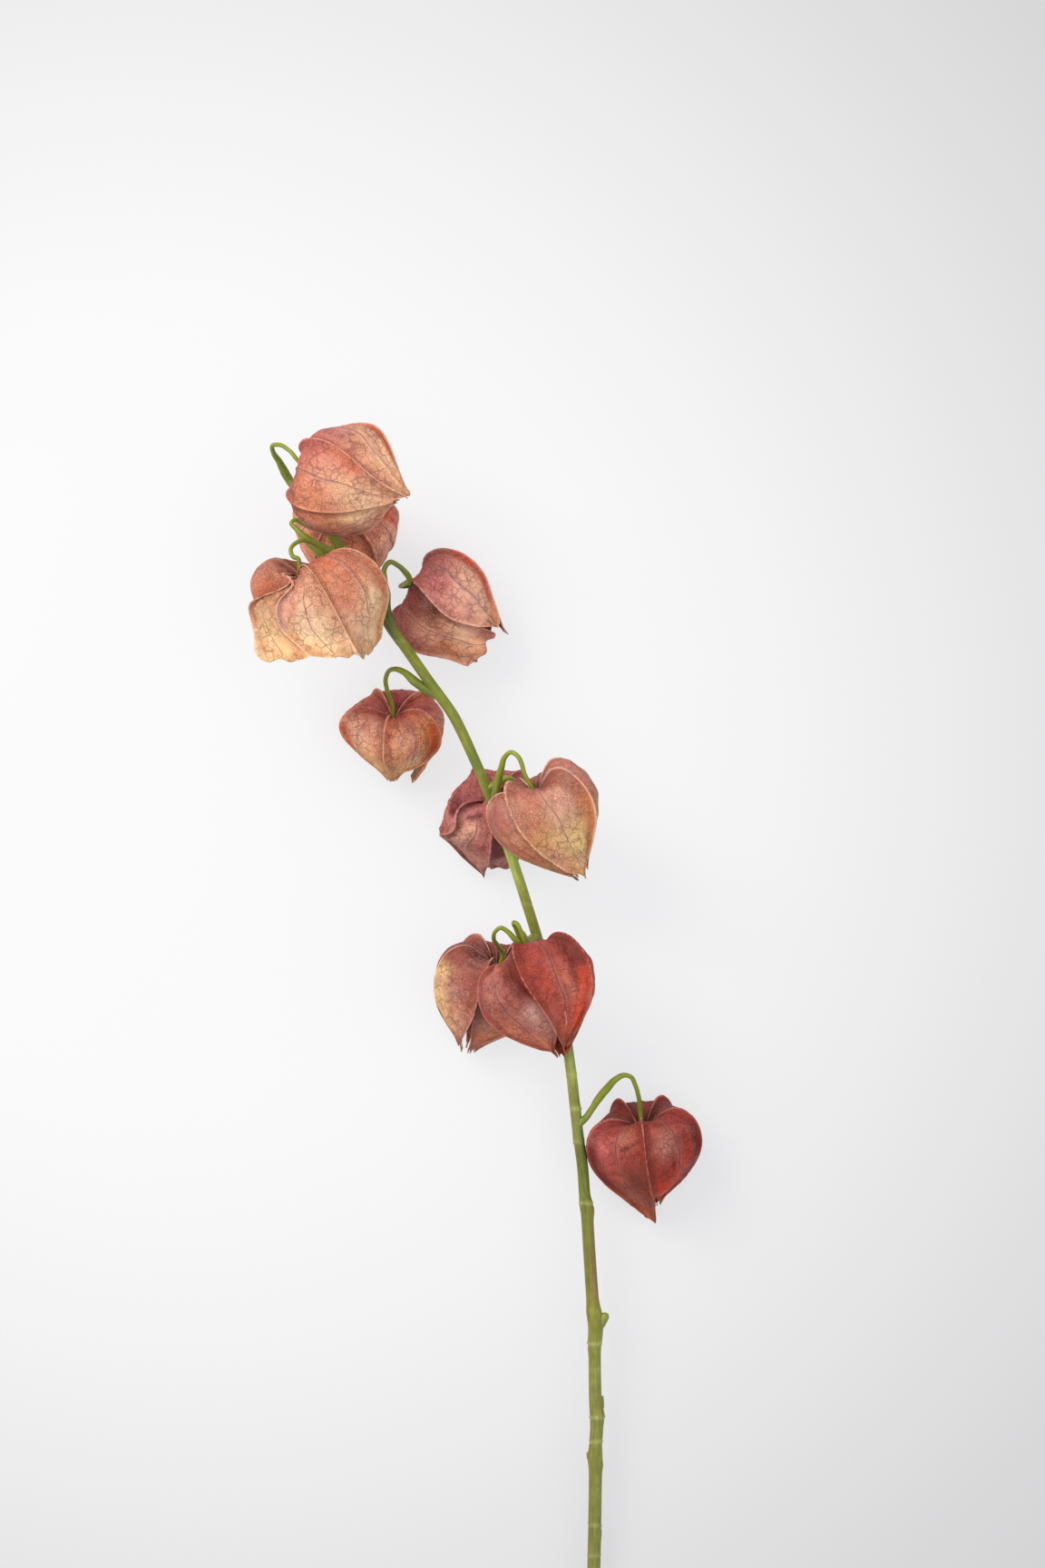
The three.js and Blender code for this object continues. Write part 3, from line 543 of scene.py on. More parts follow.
def huskPoints(shape, panel, across, down):
    # points of the husk's outside in mm: panel 0 to 4, across -1 to 1 from keel to keel, down 0 to 1
    seed, radius = shape["seed"], shape["radius"]
    keels = np.array(shape["keels"], float)
    follows = (panel + 1) % 5
    span = (keels[follows] - keels[panel]) % 360
    teeth = np.array([shape.get("teeth", {}).get(p, huskForm["tooth"]) for p in range(5)])
    longer, width, lean = teeth.T
    left = 1 - shape["split"]
    narrowing = 0.75 * smooth((down - shape["split"]) / shape.get("notch", left))
    narrowing += 0.25 * smooth((down - 1) / left + 1)
    toTooth = narrowing ** (1 + width[panel])
    reach = across * (1 - (1 - width[panel]) * toTooth) + lean[panel] * toTooth
    share = (reach + 1) / 2
    nearMouth = smooth((down - huskForm["mouthFrom"]) / (1 - huskForm["mouthFrom"]))
    turned = shape.get("twist", 0) * (down - 0.5)
    for turnedKeel, degrees, place, length in shape.get("swings", ()):
        part = (panel == turnedKeel) * (1 - share) + (follows == turnedKeel) * share
        turned = turned + degrees * hump(down, place, length) * part
    angle = np.radians(keels[panel] + span * share + turned)
    half = np.radians(span / 2)
    toHollow = 1 - smooth(down / huskForm["mouthFrom"])
    body = np.sin(np.pi * np.minimum(1, down / 0.92))

    keel = np.minimum(1, np.abs(reach))
    bulge, differs = huskForm["bulge"]
    puff = bulge + differs * (chance(seed * 7 + panel) - 0.5) + np.array(shape.get("puffs", none))[panel]
    section = np.cos(half) / np.cos(half * reach)
    pinch, *beside = huskForm["pinch"]
    section += body * (puff * (1 - keel ** 2) - pinch * hump(keel, *beside))
    large, small = huskForm["dents"]
    dents = large * np.sin(2 * angle + seed) + small * np.sin(3 * angle + 4 * down + 2 * seed)
    stretch = 1 + dents * body
    waistAt = shape.get("waistAt", huskForm["waist"])
    for key, place in (("shoulder", huskForm["shoulder"]), ("waist", waistAt)):
        size = np.array(shape.get(key, even))
        further = blend(size[panel], size[follows], smooth(share)) - 1
        stretch += further * hump(down, place, huskForm["belt"])
    outwards = alongCurve(huskForm["keelRadius"], down)
    outwards += shape["mouth"] * alongCurve(huskForm["mouthPush"], down)
    tucked = 1 - huskForm["tuck"] * smooth(np.abs(reach) - 0.9) * toTooth
    flare = np.array(shape.get("flare", none))
    flared = smooth((down - huskForm["flareFrom"]) / 0.34)
    outwards += blend(flare[panel], flare[follows], smooth(share)) * flared
    spread = outwards * section * stretch * tucked * radius

    toTip = smooth((down - huskForm["toothFrom"]) / 0.3)
    own, other = (huskForm["uneven"] * (chance(seed * 11 + p) - 0.5) * nearMouth + longer[p] * toTip
                  for p in (panel, follows))
    tooth = blend(own, other, smooth((across - 0.6) / 0.4) * (1 - toTooth))
    torn = 0.5 + 0.5 * np.cos(5 * across + 2.3 * seed + 3.8 * panel)
    tooth -= shape.get("ragged", huskForm["ragged"]) * torn * smooth((down - 0.9) / 0.1)
    keelRise, *over = huskForm["keelRise"]
    fold = keelRise * keel ** 4 * hump(down, *over)
    rises = np.array(shape.get("rises", none))
    fold += np.array(shape.get("tops", none))[panel] * (1 - keel ** 2) * hump(down, *huskForm["top"])
    fold += blend(rises[panel], rises[follows], smooth(share)) * hump(down, *huskForm["rise"])
    height = alongCurve(huskForm["keelHeight"], down) + tooth - fold - huskForm["middle"]
    height = height * shape["height"]

    axis = Vector(huskAxis(shape))
    up = (Vector((0, 0, 1)) - axis * axis.z).normalized()
    right = up.cross(axis)
    tip, hollow = shape.get("tip", (0, 0)), shape.get("hollow", (0, 0))
    aside, lift = ((tip[i] * nearMouth + hollow[i] * toHollow) * radius for i in (0, 1))
    parts = ((height, axis), (spread * np.cos(angle) + aside, right), (-spread * np.sin(angle) + lift, up))
    points = sum(amount[:, None] * np.array(way) for amount, way in parts)
    points[:, 2] *= shape.get("flat", huskForm["flat"])
    return points + np.array(shape["at"])


def flatNet(name, columns, rows):
    # a net of faces from -1 to 1 both ways, and its points
    bpy.ops.object.select_all(action="DESELECT")
    bpy.ops.mesh.primitive_grid_add(x_subdivisions=columns, y_subdivisions=rows, size=2)
    net = bpy.context.active_object
    net.name = name
    return net, pointsOf(net)


def vectorsOf(rows, key):
    flat = np.empty(len(rows) * 3, np.float32)
    rows.foreach_get(key, flat)
    return flat.reshape(-1, 3).astype(float)


def pointsOf(piece):
    return vectorsOf(piece.data.vertices, "co")


def setPoints(piece, points):
    piece.data.vertices.foreach_set("co", np.asarray(points, np.float32).ravel())
    piece.data.update()


def setValues(piece, name, values):
    layer = piece.data.attributes.new(name, "FLOAT", "POINT")
    layer.data.foreach_set("value", np.asarray(values, np.float32))


def valuesOf(piece, name):
    values = np.empty(len(piece.data.vertices), np.float32)
    piece.data.attributes[name].data.foreach_get("value", values)
    return values.astype(float)


def setMap(piece, u, v):
    corners = np.empty(len(piece.data.loops), np.int32)
    piece.data.loops.foreach_get("vertex_index", corners)
    spread = np.stack([u[corners], v[corners]], 1).astype(np.float32)
    piece.data.uv_layers[0].data.foreach_set("uv", spread.ravel())


def setTint(piece, colours):
    layer = piece.data.color_attributes.new("tint", "FLOAT_COLOR", "POINT")
    rgba = np.ones((len(colours), 4), np.float32)
    rgba[:, :3] = colours
    layer.data.foreach_set("color", rgba.ravel())


def weld(distance):
    # works on the active piece
    bpy.ops.object.mode_set(mode="EDIT")
    bpy.ops.mesh.select_all(action="SELECT")
    bpy.ops.mesh.remove_doubles(threshold=distance)
    bpy.ops.mesh.normals_make_consistent(inside=False)
    bpy.ops.object.mode_set(mode="OBJECT")


def dropValues(piece, names):
    for name in names:
        piece.data.attributes.remove(piece.data.attributes[name])


def joinPieces(pieces):
    bpy.ops.object.select_all(action="DESELECT")
    for piece in pieces:
        piece.select_set(True)
    bpy.context.view_layer.objects.active = pieces[0]
    bpy.ops.object.join()
    return pieces[0]


def panelNet(name, shape, panel):
    net, flat = flatNet(name, huskForm["columns"], huskForm["rows"])
    across = flat[:, 0] * (1.4 - 0.4 * flat[:, 0] ** 2)  # closer together beside the keels
    down = (1 - flat[:, 1]) / 2
    whole = np.full(len(flat), panel)
    setPoints(net, huskPoints(shape, whole, across, down) * mm)
    for key, values in (("panel", whole), ("across", across), ("down", down)):
        setValues(net, key, values)
    setMap(net, (panel + (across + 1) / 2) / 5, down)
    return net


def strokeOn(shape, spots, panel, start, end, size):
    # how much of a stroke from start to end, or of a round patch where they are one, each point has, 0 to 1
    scale = np.array((shape["radius"] * huskForm["panelHalf"], huskForm["meridian"]))
    a, b = np.array(start) * scale, np.array(end) * scale
    flat = np.stack([spots["across"], spots["down"]], 1) * scale
    way = b - a
    length = way @ way
    share = np.clip((flat - a) @ way / length, 0, 1) if length else np.full(len(flat), 0.5)
    away = np.linalg.norm(flat - a - share[:, None] * way, axis=1)
    ends = smooth(share / 0.2) * smooth((1 - share) / 0.2)
    return np.exp(-(away / size) ** 2) * ends * (spots["panel"] == panel)


def lapRelief(lap, edge):
    # beside a keel: the panel that lies over stands out, and the one under it drops away at once
    rises, step, returns = huskForm["lap"]
    over = np.abs(lap) * np.exp(-(edge / rises) ** 2)
    drop = smooth(edge / step)
    under = np.abs(lap) * (1 - drop - 0.6 * drop * np.exp(-(edge / returns) ** 2))
    return np.where(lap > 0, over, under)


def huskRelief(shape, points, spots):
    # how far each point stands out of the plain form, in mm
    seed, panel, across, down = shape["seed"], spots["panel"], spots["across"], spots["down"]
    laps, before, after = np.array(shape["laps"]), spots["before"], spots["after"]
    edge = np.minimum(before, after)
    body = smooth(down / 0.14) * (1 - 0.7 * smooth((down - 0.8) / 0.2))
    lines = np.array(shape.get("lines", even))
    sharp = np.where(before < after, lines[panel], lines[(panel + 1) % 5]) * body
    height, width = huskForm["keelFold"]
    relief = height * hump(edge, 0, width) * sharp * (1 + 0.25 * np.sin(down * 17 + 2 * panel))
    depth, width = huskForm["keelGroove"]
    relief -= depth * hump(edge, width + 0.3, 0.6 * width) * sharp
    relief += body * (lapRelief(laps[panel], before) + lapRelief(-laps[(panel + 1) % 5], after))
    middle = (across - 0.05 * np.sin(down * 9 + seed + 2 * panel)) * spots["half"]
    (height, width), (depth, *beside) = huskForm["midrib"], huskForm["besideMidrib"]
    relief += body * (height * hump(middle, 0, width) - depth * hump(np.abs(middle), *beside))
    inside = 1 - hump(edge, 0, 1.6)
    lumps = noiseAt(points, huskForm["lump"], seed, 2)
    wrinkles = noiseAt(points, huskForm["wrinkle"], seed + 3, 1)
    relief += body * inside * huskForm["crumple"] * (lumps - 0.45 * np.abs(wrinkles))
    gathers = smooth(down / 0.05) * hump(down, 0.16, 0.14)
    wide, fine = huskForm["gathers"]
    pleats = fine * np.sin(np.pi * 9 * across + 2 * seed + panel)
    relief += gathers * (wide * np.sin(np.pi * 5 * across + seed) + pleats)
    for where, *ends, width, depth in shape["creases"]:
        relief -= depth * inside * strokeOn(shape, spots, where, ends[:2], ends[2:], width)
    return relief


def huskColours(shape, points, spots):
    seed, panel, down = shape["seed"], spots["panel"], spots["down"]
    large = noiseAt(points, huskForm["cloud"], seed + 5, 2)
    small = noiseAt(points, huskForm["fleck"], seed + 9, 2)
    far, near = huskTone["drift"]
    place = np.clip(down + far * large + near * small, 0, 1)
    palette = np.array([linear(c)[:3] for c in shape["colours"]])
    colours = np.stack([np.interp(place, huskTone["stops"], palette[:, i]) for i in range(3)], 1)
    laps, before, after = np.array(shape["laps"]), spots["before"], spots["after"]
    nearest, offHollow = np.minimum(before, after), smooth(down / 0.2)
    # beside every keel a deeper tone: partly the husk's own colour, partly painted shade
    deepest, *beside = huskTone["edge"]
    deeper = deepest * hump(nearest, *beside) * smooth(0.6 + small) * smooth((down - 0.2) / 0.2)
    colours = blend(colours, np.array(linear(shape["edgeTone"])[:3]), deeper[:, None])
    patches = [(where, (a, d), (a, d), *rest) for where, a, d, *rest in shape["patches"]]
    strokes = [(where, (a, d), (b, e), *rest) for where, a, d, b, e, *rest in shape["strokes"]]
    for where, start, end, size, tone, strength in patches + strokes:
        amount = strength * strokeOn(shape, spots, where, start, end, size * (1 + 0.3 * small))
        colours = blend(colours, np.array(linear(tone)[:3]), amount[:, None])
    follows = (panel + 1) % 5
    # painted shade in the grooves beside the keels and painted shadow under each lap; then clouds and
    # flecks lighten and darken at random
    darkest, *beside = huskTone["groove"]
    shade = 1 - darkest * hump(nearest, *beside) * offHollow
    darkest, *beside = huskTone["underLap"]
    for lap, edge in ((laps[panel], before), (-laps[follows], after)):
        shade *= 1 - darkest * np.minimum(1, np.maximum(0, -lap)) * hump(edge, *beside) * offHollow
    far, near = huskTone["uneven"]
    shade *= 1 + far * large + near * small
    colours *= shade[:, None]
    # the pale line on each keel's upper side: partly its own paler colour, partly a painted highlight on
    # the ridge
    pale = np.array(shape.get("lines", even))
    strongest, width = huskTone["keelLine"]
    line = pale[panel] * (laps[panel] > -0.1) * hump(before, 0, width)
    line += pale[follows] * (laps[follows] < 0.5) * hump(after, 0, width)
    line = strongest * np.minimum(1, line) * smooth(down / 0.15)
    return np.clip(blend(colours, np.array(linear(shape["keelTone"])[:3]), line[:, None]), 0, 1)


def giveWay(points, rods):
    # the paper is dented where a rod lies on it: both ends of the rod, and how far off its middle it stays
    for start, end, clear in rods:
        start, run = np.array(start), np.array(end) - np.array(start)
        nearest = start + np.clip((points - start) @ run / (run @ run), 0, 1)[:, None] * run
        away = points - nearest
        far = np.maximum(1e-6, np.linalg.norm(away, axis=1))[:, None]
        points = np.where(far < clear, nearest + away * clear / far, points)
    return points


def makeHusk(name, shape):
    husk = joinPieces([panelNet(f"{name}_husk_{i}", shape, i) for i in range(5)])
    husk.name = f"{name}_husk"
    weld(huskForm["weld"] * mm)
    spots = {key: valuesOf(husk, key) for key in ("panel", "across", "down")}
    spots["panel"] = np.round(spots["panel"]).astype(int)
    narrow = np.maximum(0.08, alongCurve(huskForm["keelRadius"], spots["down"]))
    spots["half"] = shape["radius"] * huskForm["panelHalf"] * narrow
    # mm from the keel before the panel and from the one after it
    spots["before"], spots["after"] = ((1 + way * spots["across"]) * spots["half"] for way in (1, -1))
    plain = pointsOf(husk) / mm
    relief = huskRelief(shape, plain, spots)
    normals = vectorsOf(husk.data.vertex_normals, "vector")
    setPoints(husk, giveWay(plain + normals * relief[:, None], shape.get("rods", ())) * mm)
    setTint(husk, huskColours(shape, plain, spots))
    dropValues(husk, ("panel", "across", "down"))
    wall = husk.modifiers.new("paper", "SOLIDIFY")
    wall.thickness = huskForm["paper"] * mm
    wall.offset = -1
    bpy.ops.object.modifier_apply(modifier="paper")
    setPoints(husk, np.maximum(pointsOf(husk), (-1, -1, leastHeight * mm)))
    bpy.ops.object.shade_smooth()
    return husk


# mm across the lumps of each noise in the paper, and how many finer ones lie in them
paperNoises = {
    "bend": (2.6, 1.0), "cloud": (10, 2.0), "shown": (7, 2.0), "swing": (13, 2.0), "mottle": (1.2, 3.0),
    "lump": (4.5, 2.0), "haze": (15, 2.0), "dots": (2.2, 1.0),
}
# what colours the paper, one over the other: the node that says how much, and the colour; net only darkens
paperLayers = (
    ("hazy", "dust"), ("dotted", "speck"), ("cellMiddleAndHighlight", "cellMiddleAndHighlight"), ("fineNet", "net"), ("threads", "vein"),
    ("halo", "dust"), ("sideVein", "vein"), ("midVein", "vein"),
)
# mm that each of these raises the paper
paperRelief = {
    "midVein": 0.25, "sideVein": 0.2, "mottle": 0.08, "fibre": 0.1, "threads": 0.12, "lump": 0.2,
}


def huskPaper(name, look):
    # dry Physalis husk: grown, thin papery skin, dull, its veins a net of raised threads in a finer net
    cell, thread = look["cell"], look["thread"]
    return newMaterial(name, (
        ("place", "TexCoord", {}, {}),
        *((noiseName, "TexNoise", {"Scale": 1 / (size * mm), "Detail": detail}, {0: ("place", "Object")})
          for noiseName, (size, detail) in paperNoises.items()),
        ("bent", "VectorMath", {**timesPlus, 1: (mm,) * 3, 2: (-0.5 * mm,) * 3}, {0: ("bend", 1)}),
        ("warped", "VectorMath", plus, {0: ("place", "Object"), 1: "bent"}),
        # u counts panels, v goes down; side is 0 at one keel and 1 at the next
        ("uv", "UVMap", {}, {}),
        ("split", "SeparateXYZ", {}, {0: "uv"}),
        ("panels", "Math", {**times, 1: 5.0}, {0: ("split", 0)}),
        ("side", "Math", {"operation": "FRACT"}, {0: "panels"}),
        ("aside", "Math", {**less, 1: 0.5}, {0: "side"}),
        ("nearKeel", "Math", absolute, {0: "aside"}),
        ("clear", "MapRange", {**fade, 1: 0.48, 2: 0.495, 3: 1.0, 4: 0.0}, {0: "nearKeel"}),
        # fine net: denser above and in clouds
        ("cells", "TexVoronoi", {"feature": "DISTANCE_TO_EDGE", "Scale": 1 / (cell * mm)}, {0: "warped"}),
        ("cellLine", "MapRange", {
            **fade, 1: 0.02, 2: 0.25, 3: look["cellStrength"], 4: 0.0}, {0: "cells"}),
        ("dense", "MapRange", {**fade, 1: 0.36, 2: 0.6, 3: 0.35, 4: 1.0}, {0: "cloud"}),
        ("lower", "MapRange", {**fade, 1: 0.5, 2: 0.88, 3: 1.0, 4: 0.45}, {0: ("split", 1)}),
        ("denser", "Math", times, {0: "dense", 1: "lower"}),
        ("open", "Math", times, {0: "denser", 1: "clear"}),
        ("fineNet", "Math", times, {0: "cellLine", 1: "open"}),
        # threads: a wide net of thin dark veins that fades out in places
        ("wide", "TexVoronoi", {"feature": "DISTANCE_TO_EDGE", "Scale": 1 / (thread * mm)}, {0: "warped"}),
        ("threadLine", "MapRange", {
            **fade, 1: 0.05 / thread, 2: 0.36 / thread, 3: look["threadStrength"], 4: 0.0}, {0: "wide"}),
        ("showing", "MapRange", {**fade, 1: 0.34, 2: 0.6}, {0: "shown"}),
        ("seen", "Math", times, {0: "showing", 1: "clear"}),
        ("threads", "Math", times, {0: "threadLine", 1: "seen"}),
        # the panel's middle vein and its arched side veins
        ("drift", "Math", {**timesPlus, 1: 0.16, 2: -0.08}, {0: "swing"}),
        ("drifting", "Math", plus, {0: "aside", 1: "drift"}),
        ("off", "Math", absolute, {0: "drifting"}),
        ("midVein", "MapRange", {**fade, 1: 0.002, 2: 0.016, 3: 0.6, 4: 0.0}, {0: "off"}),
        ("halo", "MapRange", {**fade, 1: 0.01, 2: 0.09, 3: 0.2, 4: 0.0}, {0: "off"}),
        ("curve", "Math", {"operation": "POWER", 1: 0.75}, {0: "off"}),
        ("bow", "Math", {**times, 1: -3.4}, {0: "curve"}),
        ("along", "Math", {**timesPlus, 1: 8.0}, {0: ("split", 1), 2: "bow"}),
        ("waved", "Math", {**timesPlus, 1: 1.8}, {0: "swing", 2: "along"}),
        ("step", "Math", {"operation": "FRACT"}, {0: "waved"}),
        ("fromStep", "Math", {**less, 1: 0.5}, {0: "step"}),
        ("toStep", "Math", absolute, {0: "fromStep"}),
        ("branches", "MapRange", {**fade, 1: 0.004, 2: 0.026, 3: 0.45, 4: 0.0}, {0: "toStep"}),
        ("gaps", "MapRange", {**fade, 1: 0.45, 2: 0.56}, {0: "shown"}),
        ("sideVein", "Math", times, {0: "branches", 1: "gaps"}),
        # light and dark in the paper
        ("grain", "VectorMath", {**times, 1: (220.0, 7.0, 1.0)}, {0: "uv"}),
        ("fibre", "TexNoise", {"Scale": 1.0, "Detail": 2.0}, {0: "grain"}),
        ("mottled", "MapRange", {1: 0.3, 2: 0.7, 3: 0.91, 4: 1.09}, {0: "mottle"}),
        ("lumpy", "MapRange", {1: 0.3, 2: 0.7, 3: 0.9, 4: 1.12}, {0: "lump"}),
        ("fibred", "MapRange", {1: 0.3, 2: 0.7, 3: 0.93, 4: 1.07}, {0: "fibre"}),
        # lighter towards each cell's middle: partly the paler membrane there, partly a painted highlight on
        # the cell's dome
        ("cellMiddlesAndHighlights", "MapRange", {**fade, 1: 0.1, 2: 0.42, 3: 0.0, 4: 0.18}, {0: "cells"}),
        ("cellMiddleAndHighlight", "Math", times, {0: "cellMiddlesAndHighlights", 1: "open"}),
        ("light1", "Math", times, {0: "mottled", 1: "lumpy"}),
        ("light", "Math", times, {0: "light1", 1: "fibred"}),
        # colour
        ("tint", "Attribute", {"attribute_name": "tint"}, {}),
        ("paper", "VectorMath", {"operation": "SCALE"}, {0: "tint", "Scale": "light"}),
        ("hazy", "MapRange", {**fade, 1: 0.5, 2: 0.68, 4: 0.3}, {0: "haze"}),
        ("dotted", "MapRange", {**fade, 1: 0.6, 2: 0.69, 4: 0.32}, {0: "dots"}),
        *((f"colour_{i}", "Mix", {
            **colourMix, "blend_type": "MULTIPLY" if tone == "net" else "MIX", 7: linear(look[tone])},
           {0: amount, 6: (f"colour_{i - 1}", 2) if i else "paper"})
          for i, (amount, tone) in enumerate(paperLayers)),
        # relief in mm: veins raised, each cell a little cushion between the lines of its net
        ("relief_0", "Math", {**times, 1: -0.09}, {0: "fineNet"}),
        *((f"relief_{i + 1}", "Math", {**timesPlus, 1: raised}, {0: source, 2: f"relief_{i}"})
          for i, (source, raised) in enumerate(paperRelief.items())),
        ("bump", "Bump", {"Strength": 0.9, "Distance": mm}, {"Height": f"relief_{len(paperRelief)}"}),
        ("skin", "BsdfPrincipled", {
            "Roughness": 0.62, "Specular IOR Level": 0.18, "Subsurface Weight": 0.08,
            "Subsurface Radius": (1.0, 0.45, 0.25), "Subsurface Scale": mm},
         {"Base Color": (f"colour_{len(paperLayers) - 1}", 2), "Normal": "bump"}),
        ("output", "OutputMaterial", {}, {0: "skin"}),
    ))


# cell and thread: mm across a cell of the fine net and of the wide one; the colour of a cell's middle is
# its paler membrane with a painted highlight on the cell's dome
papers = {
    "husk_rose": huskPaper("roseHuskPaper", {
        "cell": 0.95, "cellStrength": 0.48, "thread": 3.4, "threadStrength": 0.56, "cellMiddleAndHighlight": "#e8c4a0",
        "net": "#a24e40", "dust": "#bf8f86", "speck": "#a04a3a", "vein": "#6e4642"}),
    "husk_peach": huskPaper("peachHuskPaper", {
        "cell": 0.95, "cellStrength": 0.48, "thread": 3.8, "threadStrength": 0.6, "cellMiddleAndHighlight": "#eed4a8",
        "net": "#aa583a", "dust": "#d2a692", "speck": "#b4583e", "vein": "#7a5040"}),
    "husk_red": huskPaper("redHuskPaper", {
        "cell": 0.9, "cellStrength": 0.5, "thread": 3.2, "threadStrength": 0.52, "cellMiddleAndHighlight": "#b8604c",
        "net": "#7c2e26", "dust": "#a8706a", "speck": "#7c2a24", "vein": "#532c2a"}),
}
# the pale line on a keel, partly the fold's own paler colour and partly a painted highlight on its ridge;
# and the deeper tone beside it, partly the husk's own colour and partly painted shade
keelTones = {"husk_rose": "#dfae9c", "husk_peach": "#ecc2aa", "husk_red": "#c98272"}
edgeTones = {"husk_rose": "#b65a42", "husk_peach": "#c87448", "husk_red": "#7c2c22"}
slots = {part["node"]: part["material_slot"] for part in frame["record"]["subparts"]}
for number, (name, shape) in enumerate(lanterns.items(), 1):
    shape["seed"] = number
    shape["keelTone"], shape["edgeTone"] = keelTones[slots[name]], edgeTones[slots[name]]
    husk = makeHusk(name, shape)
    husk.data.materials.append(papers[slots[name]])
    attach(husk, "root")
    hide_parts(name)
    print("husk made:", name, len(husk.data.polygons), "faces")


